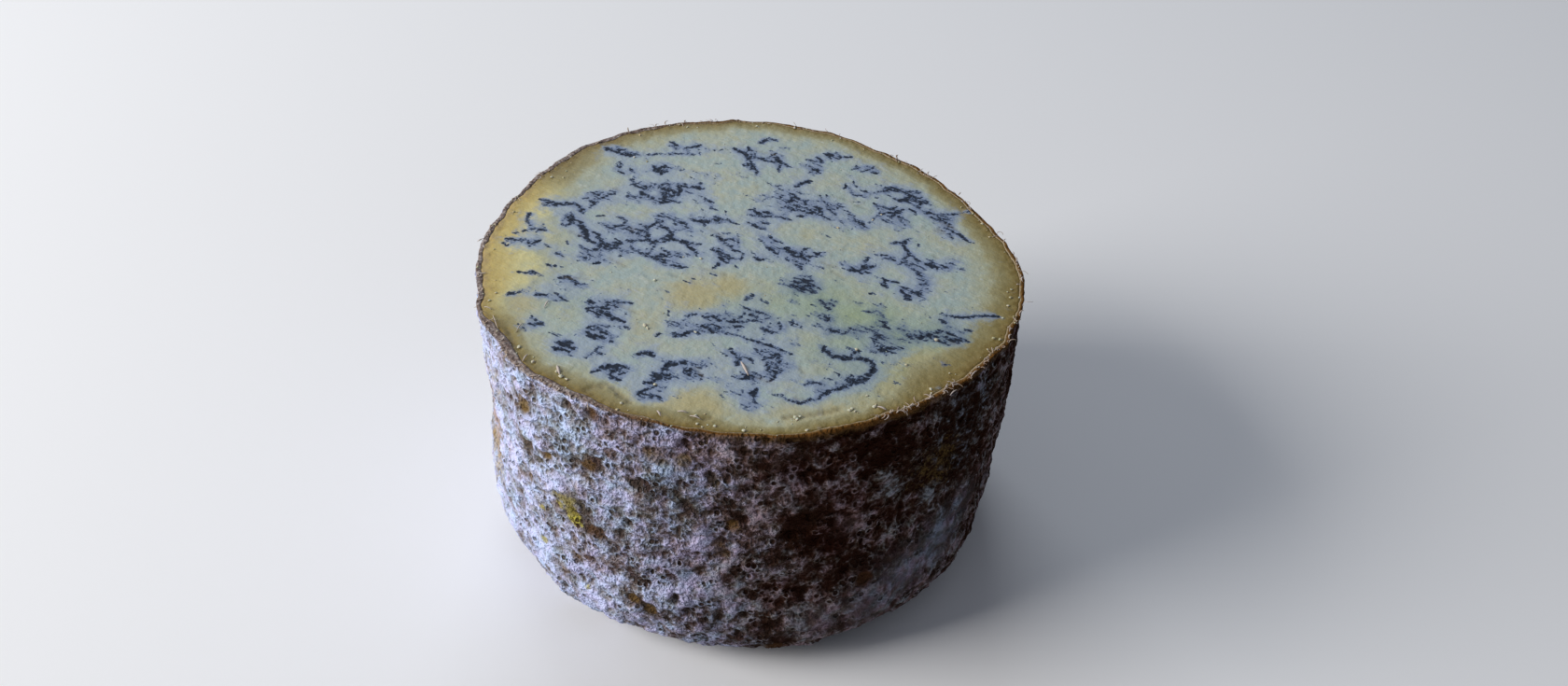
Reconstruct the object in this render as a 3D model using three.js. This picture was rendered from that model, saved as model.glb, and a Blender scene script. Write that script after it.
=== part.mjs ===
// Half of a blue-veined cheese wheel, cut across by a wire and standing cut face up.
// It is one solid: a straight wall with a rounded heel, a flat foot, and a cut face that slopes a little.
// Millimetres, +Z up. The origin is the centre of the flat foot, and -Y is the front.

import * as THREE from "three";
import { mergeVertices } from "three/addons/utils/BufferGeometryUtils.js";

// Driving dimensions.
const WHEEL_RADIUS = 100; // mean radius at the cut
const SETTLING = 1; // the wheel has sagged a little, so it is this much wider at the heel
const CUT_HEIGHT = 118; // height of the cut face on the axis
const CUT_SLOPE_DEG = -2; // the wire ran downhill towards +X
const HEEL_SIZE = 31; // height and depth of the rounding between foot and wall
const HEEL_SQUARENESS = 2.5; // superellipse exponent of that rounding, where 2 is a circle

// The wheel is out of round. Each lobe is [waves around, height in mm, angle of one crest in degrees].
const RIM_LOBES = [
  [3, 1.9, -13],
  [4, 0.5, 5],
  [5, 1.1, -14],
];
const HEEL_LOBES = [
  [2, 0.4, 49],
  [4, 0.5, 24],
  [5, 0.3, 11],
];

// Places where the rim bulges or is dented: [angle in degrees, half width in degrees, height in mm].
const RIM_BULGES = [
  [-133, 14, 3.1],
  [-98, 7, -0.9],
  [-56, 11, 1.7],
];

// Relief of the rind, coarse to fine: size of one bump and its height either way, in mm.
const RIND_RELIEF = [
  { bump: 34, height: 0.8, seed: 1 },
  { bump: 15, height: 0.7, seed: 2 },
  { bump: 8.5, height: 0.55, seed: 3 },
];
const FOOT_FADE = 16; // the relief grows from nothing at the foot over this height

// Hollows where the rind has sunk: [angle in degrees, height, radius, depth] in mm.
const HOLLOWS = [
  [-106, 20, 8, 2.0],
  [-50, 66, 22, 1.6],
  [-14, 44, 16, 1.8],
  [38, 52, 24, 1.7],
  [92, 70, 18, 1.5],
  [140, 34, 20, 1.8],
  [-158, 64, 20, 1.6],
];

// Relief of the cut face: long waves left by the wire, and the ragged edge of the rind.
const WIRE_WAVE = { bump: 42, height: 0.45, seed: 11 };
const RIM_RAGGED = { bump: 7, height: 0.45, seed: 12 };

// Resolution of the faceted solid. The rings are shares of a radius.
const SEGMENTS = 144;
const HEEL_STEPS = 9;
const WALL_STEPS = 19;
const FOOT_RING = 0.55;
const RIM_RING = 0.99; // the cut face's points outside this share belong to its rim
const CUT_RINGS = [0.985, 0.9, 0.76, 0.56, 0.3];
const MERGE_WITHIN = 1e-3; // mm

const { degToRad, clamp, lerp, smoothstep } = THREE.MathUtils;
const TURN = 2 * Math.PI;
const FOOT_RADIUS = WHEEL_RADIUS - HEEL_SIZE;

// A repeatable number from 0 to 1 for one corner of a lattice.
function cornerValue(column, row, seed) {
  const [columnStep, rowStep, seedStep, gain] = [12.9898, 78.233, 37.719, 43758.5453];
  const wave = Math.sin(column * columnStep + row * rowStep + seed * seedStep) * gain;
  return wave - Math.floor(wave);
}

// Smooth noise from -1 to 1 on a lattice that closes on itself after a number of columns.
function latticeNoise(across, up, columns, seed) {
  const [column, row] = [Math.floor(across), Math.floor(up)];
  const ease = (t) => t * t * t * (t * (6 * t - 15) + 10);
  const [s, t] = [ease(across - column), ease(up - row)];
  const wrapped = (i) => ((i % columns) + columns) % columns;
  const at = (i, j) => cornerValue(wrapped(column + i), row + j, seed);
  const low = lerp(at(0, 0), at(1, 0), s);
  const high = lerp(at(0, 1), at(1, 1), s);
  return 2 * lerp(low, high, t) - 1;
}

// Noise on the wall, by the angle around it and the height up it.
function wallNoise(angle, height, { bump, seed }) {
  const columns = Math.round((TURN * WHEEL_RADIUS) / bump);
  return latticeNoise((angle / TURN) * columns, height / bump, columns, seed);
}

// How far the outline stands out from a true circle at an angle.
function outOfRound(angle, lobes) {
  let offset = 0;
  for (const [waves, height, crest] of lobes) {
    offset += height * Math.cos(waves * (angle - degToRad(crest)));
  }
  return offset;
}

// The angle from a direction in degrees to another in radians, the shorter way round.
function turnFrom(centre, angle) {
  const turned = angle - degToRad(centre);
  return Math.atan2(Math.sin(turned), Math.cos(turned));
}

// How far the rim's bulges and dents move it outwards at an angle.
function rimBulge(angle) {
  let offset = 0;
  for (const [centre, halfWidth, height] of RIM_BULGES) {
    const share = turnFrom(centre, angle) / degToRad(halfWidth);
    offset += height * Math.exp(-share * share);
  }
  return offset;
}

// Depth of the hollows at a place on the wall.
function hollowDepth(angle, height) {
  let depth = 0;
  for (const [centre, middle, radius, deepest] of HOLLOWS) {
    const turned = turnFrom(centre, angle);
    const distance = Math.hypot(turned * WHEEL_RADIUS, height - middle) / radius;
    depth += deepest * Math.exp(-distance * distance);
  }
  return depth;
}

// Relief of the rind at a place on the wall, outwards.
function rindRelief(angle, height) {
  let relief = -hollowDepth(angle, height);
  for (const layer of RIND_RELIEF) {
    relief += layer.height * wallNoise(angle, height, layer);
  }
  return relief * smoothstep(height, 0, FOOT_FADE);
}

// Rise of the cut face over its plane.
function cutRelief(x, y) {
  const { bump, height, seed } = WIRE_WAVE;
  const columns = 64; // wider than the wheel, so that the lattice doesn't close on itself here
  return height * latticeNoise(x / bump, y / bump, columns, seed);
}

// The direction that the rind's relief moves a point of the profile in: [outwards, upwards].
function profileNormal(radius, height) {
  if (height >= HEEL_SIZE) return [1, 0];
  const out = radius - FOOT_RADIUS;
  const down = height - HEEL_SIZE;
  const length = Math.hypot(out, down);
  return [out / length, down / length];
}

// Moves a point of the plain turned shape to its place on the real, uneven wheel.
function placed(x, y, z) {
  const angle = Math.atan2(y, x);
  let radius = Math.hypot(x, y);
  let height = z;
  const onCut = z === CUT_HEIGHT;
  const onRim = onCut && radius > RIM_RING * WHEEL_RADIUS;
  const onWall = !onCut && radius > FOOT_RADIUS;

  if (onWall || onRim) {
    const relief = rindRelief(angle, z);
    const [outwards, upwards] = profileNormal(radius, z);
    radius += outwards * relief;
    height += upwards * relief;
  }
  if (onRim) radius += RIM_RAGGED.height * wallNoise(angle, 0, RIM_RAGGED);

  const rimShare = clamp((z - HEEL_SIZE) / (CUT_HEIGHT - HEEL_SIZE), 0, 1);
  const atHeel = SETTLING + outOfRound(angle, HEEL_LOBES);
  const atRim = outOfRound(angle, RIM_LOBES) + rimBulge(angle);
  const offset = lerp(atHeel, atRim, rimShare);
  const outline = radius * (1 + offset / WHEEL_RADIUS);
  const [px, py] = [outline * Math.cos(angle), outline * Math.sin(angle)];

  if (onCut) height += cutRelief(px, py);
  const slope = Math.tan(degToRad(CUT_SLOPE_DEG));
  return new THREE.Vector3(px, py, Math.max(0, height * (1 + (slope * px) / CUT_HEIGHT)));
}

// Half of the wheel's section, from the foot's centre round the heel and up the wall to the cut's centre.
function section() {
  const points = [new THREE.Vector2(0, 0), new THREE.Vector2(FOOT_RING * FOOT_RADIUS, 0)];
  for (let i = 0; i <= HEEL_STEPS; i++) {
    const turn = (i / HEEL_STEPS) * (Math.PI / 2);
    const inwards = 1 - Math.sin(turn) ** (2 / HEEL_SQUARENESS);
    const upwards = i === HEEL_STEPS ? 1 : 1 - Math.cos(turn) ** (2 / HEEL_SQUARENESS);
    points.push(new THREE.Vector2(WHEEL_RADIUS - HEEL_SIZE * inwards, HEEL_SIZE * upwards));
  }
  for (let i = 1; i <= WALL_STEPS; i++) {
    points.push(new THREE.Vector2(WHEEL_RADIUS, lerp(HEEL_SIZE, CUT_HEIGHT, i / WALL_STEPS)));
  }
  for (const share of CUT_RINGS) {
    points.push(new THREE.Vector2(share * WHEEL_RADIUS, CUT_HEIGHT));
  }
  points.push(new THREE.Vector2(0, CUT_HEIGHT));
  return points;
}

function wheelGeometry() {
  const turned = new THREE.LatheGeometry(section(), SEGMENTS).rotateX(Math.PI / 2);
  turned.deleteAttribute("normal");
  turned.deleteAttribute("uv");
  const geometry = mergeVertices(turned, MERGE_WITHIN);
  const position = geometry.getAttribute("position");
  for (let i = 0; i < position.count; i++) {
    const nearCut = Math.abs(position.getZ(i) - CUT_HEIGHT) < MERGE_WITHIN;
    const z = nearCut ? CUT_HEIGHT : Math.max(0, position.getZ(i));
    const place = placed(position.getX(i), position.getY(i), z);
    position.setXYZ(i, place.x, place.y, place.z);
  }
  geometry.computeVertexNormals();
  return geometry;
}

const cheeseMaterial = new THREE.MeshStandardMaterial({
  color: 0x8f8578,
  roughness: 0.85,
  metalness: 0,
});

const cheese = new THREE.Mesh(wheelGeometry(), cheeseMaterial);
cheese.name = "cheese";

const wheel = new THREE.Group();
wheel.add(cheese);

export default wheel;
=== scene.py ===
"""Looks of a half wheel of blue-veined cheese: mould-bloomed rind, marbled cut face, crumbs and flakes."""

import math

import bmesh
import bpy
import numpy as np
from mathutils import Matrix, Quaternion, Vector, kdtree, noise


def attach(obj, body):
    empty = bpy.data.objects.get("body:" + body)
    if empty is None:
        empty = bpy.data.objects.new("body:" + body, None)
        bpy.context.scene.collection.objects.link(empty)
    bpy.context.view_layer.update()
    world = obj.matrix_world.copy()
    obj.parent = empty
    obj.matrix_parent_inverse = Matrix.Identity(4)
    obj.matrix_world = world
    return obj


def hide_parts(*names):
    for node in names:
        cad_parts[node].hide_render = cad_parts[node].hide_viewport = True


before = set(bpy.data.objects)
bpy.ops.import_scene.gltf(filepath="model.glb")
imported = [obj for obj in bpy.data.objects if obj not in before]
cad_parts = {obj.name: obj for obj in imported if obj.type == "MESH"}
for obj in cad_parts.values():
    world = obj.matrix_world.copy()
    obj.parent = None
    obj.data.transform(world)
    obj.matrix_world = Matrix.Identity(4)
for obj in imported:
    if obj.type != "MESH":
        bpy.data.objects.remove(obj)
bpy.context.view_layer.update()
BODY = "root"
NODE = "cheese"

MM = 0.001
TURN = 2 * math.pi

# ---------------------------------------------------------------------------------------------
# The wheel's form: the same named sizes as the part's source, in millimetres.

WHEEL_RADIUS = 100
SETTLING = 1
CUT_HEIGHT = 118
CUT_SLOPE = math.tan(math.radians(-2))
HEEL_SIZE = 31
HEEL_SQUARENESS = 2.5
FOOT_RADIUS = WHEEL_RADIUS - HEEL_SIZE

# Out of round: waves around, height, angle of one crest in degrees.
RIM_LOBES = [(3, 1.9, -13), (4, 0.5, 5), (5, 1.1, -14)]
HEEL_LOBES = [(2, 0.4, 49), (4, 0.5, 24), (5, 0.3, 11)]

# Where the rim bulges or is dented: angle and half width in degrees, height.
RIM_BULGES = [(-133, 14, 3.1), (-98, 7, -0.9), (-56, 11, 1.7)]

# Relief of the rind: size of one bump, its height either way, seed.
RIND_RELIEF = [(34, 0.8, 1), (15, 0.7, 2), (8.5, 0.55, 3)]
FOOT_FADE = 16

# Hollows where the rind has sunk: angle in degrees, height, radius, depth.
HOLLOWS = [
    (-106, 20, 8, 2.0), (-50, 66, 22, 1.6), (-14, 44, 16, 1.8), (38, 52, 24, 1.7), (92, 70, 18, 1.5),
    (140, 34, 20, 1.8), (-158, 64, 20, 1.6),
]
WIRE_WAVE = (42, 0.45, 11)
RIM_RAGGED = (7, 0.45, 12)

# ---------------------------------------------------------------------------------------------
# The camera of the photograph, which also places what the photograph shows on the surface.

IMAGE = (1680, 735)
FOCAL_PIXELS = 1504.6
ELEVATION = math.radians(38.40)
ROLL = math.radians(2.334)
DISTANCE = 560
TARGET = np.array([0.0, 0.0, 60.0])
OFFSET = (-14.86, -13.15)
SENSOR_MM = 36
WALL_SEARCH_STEPS = 12

BACK = np.array([0, -math.cos(ELEVATION), math.sin(ELEVATION)])
LEVEL_UP = np.array([0, math.sin(ELEVATION), math.cos(ELEVATION)])
LEVEL_RIGHT = np.array([1.0, 0.0, 0.0])
RIGHT = math.cos(ROLL) * LEVEL_RIGHT + math.sin(ROLL) * LEVEL_UP
UP = -math.sin(ROLL) * LEVEL_RIGHT + math.cos(ROLL) * LEVEL_UP
EYE = TARGET - OFFSET[0] * RIGHT - OFFSET[1] * UP + DISTANCE * BACK


def pixel_ray(px, py):
    """The direction from the camera through a pixel of the photograph."""
    across = (px - IMAGE[0] / 2) / FOCAL_PIXELS
    down = (py - IMAGE[1] / 2) / FOCAL_PIXELS
    return across * RIGHT - down * UP - BACK


def on_cut(px, py):
    """The place on the cut face that a pixel shows: x and y in millimetres."""
    ray = pixel_ray(px, py)
    reach = (CUT_HEIGHT + CUT_SLOPE * EYE[0] - EYE[2]) / (ray[2] - CUT_SLOPE * ray[0])
    place = EYE + reach * ray
    return place[0], place[1]


def on_wall(px, py):
    """The place on the wall that a pixel shows: angle in radians and height in millimetres."""
    ray = pixel_ray(px, py)
    radius = WHEEL_RADIUS
    for _ in range(WALL_SEARCH_STEPS):
        a = ray[0] ** 2 + ray[1] ** 2
        b = EYE[0] * ray[0] + EYE[1] * ray[1]
        c = EYE[0] ** 2 + EYE[1] ** 2 - radius**2
        reach = (-b - math.sqrt(max(0, b * b - a * c))) / a
        place = EYE + reach * ray
        height = min(max(place[2], 0), CUT_HEIGHT)
        low = max(0, 1 - height / HEEL_SIZE)
        inwards = 1 - (1 - low**HEEL_SQUARENESS) ** (1 / HEEL_SQUARENESS)
        # Half way from the last guess to the wall's radius at the height that was hit, so that it settles.
        radius = 0.5 * (radius + WHEEL_RADIUS - HEEL_SIZE * inwards)
    return math.atan2(place[1], place[0]), height


# ---------------------------------------------------------------------------------------------
# Noise, and the form of the wheel from it.

# The wave that a lattice takes its repeatable numbers from: its steps by column, row and seed, and its gain.
LATTICE_STEPS = (12.9898, 78.233, 37.719)
LATTICE_GAIN = 43758.5453
LATTICE_COLUMNS = 64  # wider than the wheel, so that the lattice doesn't close on itself on the cut face

FIELD_SHIFTS = (17.31, 5.17, 9.73)  # how far a step of the seed moves fractal noise along each axis
OCTAVE_FALL, OCTAVE_STEP = 1.0, 2.0  # how much weaker and how much finer each octave is than the last


def smooth_step(value, low, high):
    share = np.clip((value - low) / (high - low), 0, 1)
    return share * share * (3 - 2 * share)


def corner_value(column, row, seed):
    """A repeatable number from 0 to 1 for one corner of a lattice."""
    column_step, row_step, seed_step = LATTICE_STEPS
    wave = np.sin(column * column_step + row * row_step + seed * seed_step) * LATTICE_GAIN
    return wave - np.floor(wave)


def lattice_noise(across, up, columns, seed):
    """Smooth noise from -1 to 1 on a lattice that closes on itself after a number of columns."""
    column, row = np.floor(across), np.floor(up)
    s, t = across - column, up - row
    s = s**3 * (s * (6 * s - 15) + 10)
    t = t**3 * (t * (6 * t - 15) + 10)

    def at(i, j):
        return corner_value(np.mod(column + i, columns), row + j, seed)

    low = at(0, 0) + s * (at(1, 0) - at(0, 0))
    high = at(0, 1) + s * (at(1, 1) - at(0, 1))
    return 2 * (low + t * (high - low)) - 1


def wall_noise(angle, height, bump, seed):
    columns = round(TURN * WHEEL_RADIUS / bump)
    return lattice_noise(angle / TURN * columns, height / bump, columns, seed)


def out_of_round(angle, lobes):
    return sum(size * np.cos(waves * (angle - math.radians(crest))) for waves, size, crest in lobes)


def turn_from(centre, angle):
    """The angle from a direction to another, both in radians, the shorter way round."""
    return np.angle(np.exp(1j * (angle - centre)))


def rim_bulge(angle):
    """How far the rim's bulges and dents move it outwards."""
    offset = 0 * angle
    for centre, half_width, size in RIM_BULGES:
        offset += size * np.exp(-((turn_from(math.radians(centre), angle) / math.radians(half_width)) ** 2))
    return offset


def rind_relief(angle, height):
    """The relief that the part's source gives the rind, outwards."""
    relief = np.zeros_like(angle)
    for centre, middle, radius, depth in HOLLOWS:
        turned = turn_from(math.radians(centre), angle)
        distance = np.hypot(turned * WHEEL_RADIUS, height - middle) / radius
        relief -= depth * np.exp(-(distance**2))
    for bump, size, seed in RIND_RELIEF:
        relief += size * wall_noise(angle, height, bump, seed)
    return relief * smooth_step(height, 0, FOOT_FADE)


def outline_offset(angle, height):
    """How far the outline stands out from a circle at a height."""
    share = np.clip((height - HEEL_SIZE) / (CUT_HEIGHT - HEEL_SIZE), 0, 1)
    heel = SETTLING + out_of_round(angle, HEEL_LOBES)
    rim = out_of_round(angle, RIM_LOBES) + rim_bulge(angle)
    return heel + share * (rim - heel)


def sloped(x, z):
    """Heights follow the slope of the cut."""
    return z * (1 + CUT_SLOPE * x / CUT_HEIGHT)


def rim_radius(angle):
    """Radius of the wall where the cut meets it."""
    height = np.full_like(angle, CUT_HEIGHT)
    ragged = RIM_RAGGED[1] * wall_noise(angle, 0 * angle, RIM_RAGGED[0], RIM_RAGGED[2])
    radius = WHEEL_RADIUS + rind_relief(angle, height) + ragged
    return radius * (1 + outline_offset(angle, height) / WHEEL_RADIUS)


def field(points, size, octaves, seed):
    """Fractal noise round 0 at points in millimetres, with features of a size in millimetres."""
    shift = Vector([seed * step for step in FIELD_SHIFTS])
    places = [Vector(point) / size + shift for point in points.tolist()]
    return np.array([noise.fractal(place, OCTAVE_FALL, OCTAVE_STEP, octaves) for place in places])


def flat_field(x, y, layer):
    """Noise over the cut face or the foot, by a layer's size, octaves and seed."""
    return field(np.stack([x, y, 0 * x], 1), *layer)


# ---------------------------------------------------------------------------------------------
# Closed shells made of rings.


class Shell:
    """A closed surface made ring by ring: its points, their marks, its faces and their texture places."""

    def __init__(self):
        self.points, self.marks, self.faces, self.places = [], [], [], []
        self.size = 0

    def ring(self, points, **marks):
        """Adds a ring of points with their marks, and returns its first index and its length."""
        self.points.append(points)
        self.marks.append(marks)
        self.size += len(points)
        return self.size - len(points), len(points)

    def add(self, *corners):
        """Adds faces from their corners, each an array of indices with the texture places there."""
        self.faces.append(np.stack([index for index, _ in corners], 1))
        self.places.append(np.stack([np.stack(np.broadcast_arrays(*uv), 1) for _, uv in corners], 1))

    def band(self, low, high, chart, t_low, t_high):
        """Joins two rings, which have as many points, or one of them twice as many as the other."""
        k = np.arange(min(low[1], high[1]))
        quarter = k * 4 // len(k)

        def corner(ring, t, step):
            """The corner at this column of the coarser ring, step columns further on."""
            (start, count) = ring
            stride = count // len(k)
            index = start + (k * stride + round(step * stride)) % count
            return index, chart((k + step) / len(k), quarter, t)

        a, b = (low, t_low), (high, t_high)
        if low[1] == high[1]:
            self.add(corner(*a, 0), corner(*a, 1), corner(*b, 1), corner(*b, 0))
        elif low[1] > high[1]:
            self.add(corner(*a, 0), corner(*a, 0.5), corner(*b, 0))
            self.add(corner(*a, 0.5), corner(*b, 1), corner(*b, 0))
            self.add(corner(*a, 0.5), corner(*a, 1), corner(*b, 1))
        else:
            self.add(corner(*a, 0), corner(*b, 0.5), corner(*b, 0))
            self.add(corner(*a, 0), corner(*a, 1), corner(*b, 0.5))
            self.add(corner(*a, 1), corner(*b, 1), corner(*b, 0.5))

    def cap(self, ring, centre, chart, t, starts, **marks):
        """Closes the first ring of the surface, where it starts, or the last, with a fan of triangles."""
        start, count = ring
        k = np.arange(count)
        tip, _ = self.ring(centre[None, :], **marks)
        quarter = k * 4 // count
        here = (start + k, chart(k / count, quarter, t))
        there = (start + (k + 1) % count, chart((k + 1) / count, quarter, t))
        middle = (np.full(count, tip), chart(k / count, quarter, 0))
        if starts:
            self.add(middle, there, here)
        else:
            self.add(here, there, middle)

    def build(self, name, material, mark_names):
        """The surface as a Blender object, in metres, with its texture places and marks."""
        mesh = bpy.data.meshes.new(name)
        points = np.concatenate(self.points) * MM
        mesh.from_pydata(points.tolist(), [], [f for group in self.faces for f in group.tolist()])
        places = np.concatenate([group.reshape(-1, 2) for group in self.places])
        layer = mesh.uv_layers.new(name="OFBake")
        layer.data.foreach_set("uv", places.astype(np.float32).ravel())
        for mark in mark_names:
            values = [m.get(mark, 0) + np.zeros(len(p)) for m, p in zip(self.marks, self.points)]
            attribute = mesh.attributes.new(mark, "FLOAT", "POINT")
            attribute.data.foreach_set("value", np.concatenate(values).astype(np.float32))
        return finish_object(name, mesh, material)


def finish_object(name, mesh, material):
    mesh.shade_smooth()
    mesh.materials.append(material)
    made = bpy.data.objects.new(name, mesh)
    bpy.context.scene.collection.objects.link(made)
    return made


# ---------------------------------------------------------------------------------------------
# The rind.

RIND_SEGMENTS = 600
HEEL_ROWS = 44
WALL_ROWS = 84
FOOT_STEP = 1.4
RIM_FADE = 4.6
RIND_THICKNESS = 1.7
LIP_ROWS = 5
LIP_CROWN = 0.12
LIP_GRAIN = 0.12
LIP_DROP = 0.05

# Where the rind's cut edge is crumpled and wide: angle and half width in degrees, extra thickness.
CRUMPLED_LIPS = [(-144, 8, 2.0), (-123, 15, 1.1)]

# The inside of the rind: points in a ring, share of the radius, height.
INSIDE_RINGS = [
    (300, 1, 116), (150, 0.955, 108), (150, 0.95, 36), (150, 0.85, 14), (150, 0.62, 8), (75, 0.35, 8),
]
INSIDE_T_STEP = 1 / 8

# Zones of the foot: points in a ring, from and to radius.
FOOT_ZONES = [(75, 4, 16.5), (150, 16.5, 34.5), (300, 34.5, 68.2)]
FOOT_HOLLOW = 0.3  # mean height of the foot's relief over the floor
FOOT_BLOOM = 0.46
# How lit the foot is painted in its middle; it is painted lighter towards the key light and darker away from
# it.
FOOT_PAINTED_LIGHT = 0.5

# Patches that show on the wall: pixel, radius in mm, and how much more mould bloom there is. Some with less
# bloom are painted shade: the one at (684, 519) darkens a hollow, and those at (1030, 460) and (1000, 500)
# are partly painted shade on the side away from the key light.
BLOOM_AND_SHADE_PATCHES = [
    (528, 400, 14, 0.10), (545, 460, 14, 0.10), (560, 560, 14, 0.12), (590, 610, 12, 0.10),
    (612, 517, 4, 0.15), (645, 650, 12, 0.12), (670, 531, 6, 0.20), (625, 430, 9, 0.12),
    (574, 477, 4, -0.40), (613, 488, 6, -0.28), (636, 500, 6, -0.25), (622, 555, 7, -0.25),
    (655, 575, 8, -0.15), (710, 478, 9, 0.04), (700, 457, 5, 0.20), (713, 512, 6, 0.15),
    (716, 637, 2.6, 0.35), (734, 645, 2.6, 0.35), (770, 474, 10, -0.06), (1030, 460, 22, -0.04),
    (950, 475, 10, -0.12), (684, 519, 7, -0.25), (668, 575, 13, 0.06), (705, 545, 12, -0.06),
    (752, 560, 12, -0.08), (765, 530, 12, -0.14), (740, 530, 5, 0.12), (748, 588, 10, 0.12),
    (720, 640, 12, 0.08), (770, 625, 12, 0.12), (640, 625, 12, 0.10), (816, 517, 5, 0.28),
    (806, 545, 8, 0.12), (828, 560, 6, 0.14), (800, 478, 8, -0.10), (860, 480, 18, -0.12),
    (845, 567, 8, -0.28), (871, 550, 8, -0.28), (914, 560, 6, 0.12), (892, 579, 9, -0.24),
    (957, 533, 7, 0.10), (924, 617, 11, -0.24), (880, 610, 9, 0.04), (960, 480, 18, -0.04),
    (1000, 500, 14, -0.14), (947, 634, 14, 0.08), (1000, 590, 14, 0.08), (880, 660, 12, 0.08),
    (825, 679, 7, -0.30),
]

# Smooth, thick patches of bloom with few pits: pixel, radius in mm, and strength.
SMOOTH_PATCHES = [
    (611, 517, 4, 0.6), (930, 645, 14, 0.7), (965, 615, 14, 0.8), (1005, 575, 14, 0.8),
    (1030, 535, 10, 0.6), (878, 664, 11, 0.5), (914, 560, 5, 0.3), (553, 560, 12, 0.7),
    (580, 610, 10, 0.6), (532, 500, 8, 0.4),
]

# Patches of colour in the bloom: pixel, radius in mm, and above 0 for grey-green or below 0 for mauve.
COOL_PATCHES = [
    (607, 460, 7, 0.5), (613, 487, 6, 0.5), (650, 462, 7, -0.5), (690, 470, 9, -0.3),
    (750, 476, 11, -0.5), (790, 490, 11, -0.2), (560, 500, 9, -0.2), (622, 520, 8, -0.3),
    (590, 590, 9, 0.3), (640, 600, 8, -0.4), (660, 560, 8, 0.3), (713, 512, 6, 0.5), (735, 590, 9, -0.5),
    (800, 560, 10, -0.4), (850, 500, 10, -0.4), (900, 550, 14, -0.5), (960, 520, 10, 0.4),
    (1020, 480, 16, 0.9), (1040, 430, 14, 0.9), (970, 610, 16, 0.1), (1010, 560, 14, 0.4),
    (880, 650, 10, -0.1), (830, 640, 8, -0.3),
]

# Spots: pixel, radius in mm, and their colour.
# It runs from 0 for rust over 0.45 for ochre to 0.8 for yellow and 1 for tan.
SPOTS = [
    (568, 435, 2.8, 0.45), (565, 428, 2.0, 0.30), (592, 488, 1.8, 0.40), (619, 557, 3.2, 0.80),
    (614, 549, 3.2, 0.66), (611, 536, 3.6, 0.64), (604, 541, 2.0, 0.66), (600, 530, 2.0, 0.62),
    (619, 598, 3.0, 0.25), (632, 596, 2.0, 0.10), (609, 609, 1.8, 0.40), (631, 629, 1.4, 0.78),
    (697, 655, 2.2, 0.25), (678, 641, 2.2, 0.35), (702, 488, 4.2, 0.30), (731, 493, 3.0, 0.40),
    (636, 446, 2.4, 0.15), (634, 500, 2.4, 0.22), (655, 487, 2.4, 0.10), (640, 570, 3.4, 0.12),
    (587, 579, 1.8, 0.70), (587, 543, 1.4, 0.72), (574, 512, 1.8, 0.30), (541, 460, 2.4, 0.55),
    (690, 455, 3.0, 0.20), (787, 566, 2.6, 0.25), (772, 590, 3.0, 0.20), (830, 690, 4.0, 0.12),
    (924, 617, 3.0, 0.06),
]

# Wide, thin stains at the side of the wall: pixel, radius in mm, colour as in the spots, and strength.
WASHES = [
    (529, 402, 12, 0.92, 0.5), (530, 424, 13, 1.00, 0.7), (531, 445, 14, 1.00, 0.9),
    (533, 464, 13, 0.96, 0.8), (536, 485, 12, 0.90, 0.6), (1003, 497, 11, 0.45, 0.45),
]

# Deep pits and crevices: pixel, radius and depth in mm.
CRATERS = [
    (536, 407, 1.3, 0.9), (536, 426, 1.8, 1.1), (568, 437, 2.2, 1.1), (609, 433, 2.2, 1.6),
    (602, 448, 2.0, 1.2), (636, 446, 2.4, 1.3), (574, 477, 2.6, 0.9), (592, 488, 1.8, 1.0),
    (674, 507, 2.0, 1.4), (734, 543, 2.4, 1.4), (723, 530, 2.4, 1.2), (619, 598, 1.8, 0.9),
    (678, 641, 2.2, 1.4), (697, 655, 3.4, 1.8), (722, 643, 2.0, 1.8), (734, 655, 2.2, 1.6),
    (700, 597, 2.0, 1.2), (752, 610, 1.8, 1.0), (684, 519, 3.6, 1.0), (772, 580, 3.0, 1.3),
    (790, 610, 2.4, 1.0), (865, 552, 2.8, 1.2), (842, 570, 2.8, 1.2), (924, 617, 3.2, 1.4),
    (899, 660, 1.8, 1.2), (906, 640, 1.6, 1.0), (1006, 640, 1.6, 0.8), (990, 470, 2.4, 0.8),
    (930, 505, 2.6, 1.0),
]

# Scabs that stand out: pixel, radius and height in mm.
SCABS = [
    (716, 638, 2.4, 0.9), (733, 645, 2.6, 0.9), (727, 634, 1.8, 0.7), (812, 520, 2.4, 0.7),
    (835, 556, 2.6, 0.6), (606, 512, 2.4, 0.6),
]

# Pits, craters and spots at random, the last two only where the photograph doesn't show the wall.
RIND_SEED = 7
RANDOM_PITS = 2600
RANDOM_CRATERS = 90
RANDOM_SPOTS = 80
PIT_RADII = (0.7, 2.3)
PIT_UNEVENNESS = 2.2  # the higher, the fewer of the pits are large
PIT_DEPTH = 0.6  # as a share of the radius
PIT_CHANCE, PIT_CROWDING = 0.55, 0.8
CRATER_RADII, CRATER_DEPTHS = (1.8, 3.6), (0.8, 1.5)
SPOT_RADII, SPOT_COLOURS = (1.5, 4.2), (0.1, 0.95)

# How far the wall faces the front where it comes into view, and where it is in full view.
IN_VIEW = (0.05, 0.35)

# How far a mark reaches, as a share of its radius.
PIT_SPREAD, RANDOM_CRATER_SPREAD, CRATER_SPREAD, SCAB_SPREAD, SPOT_SPREAD = 1.25, 1.35, 1.5, 1.3, 1.6

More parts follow.
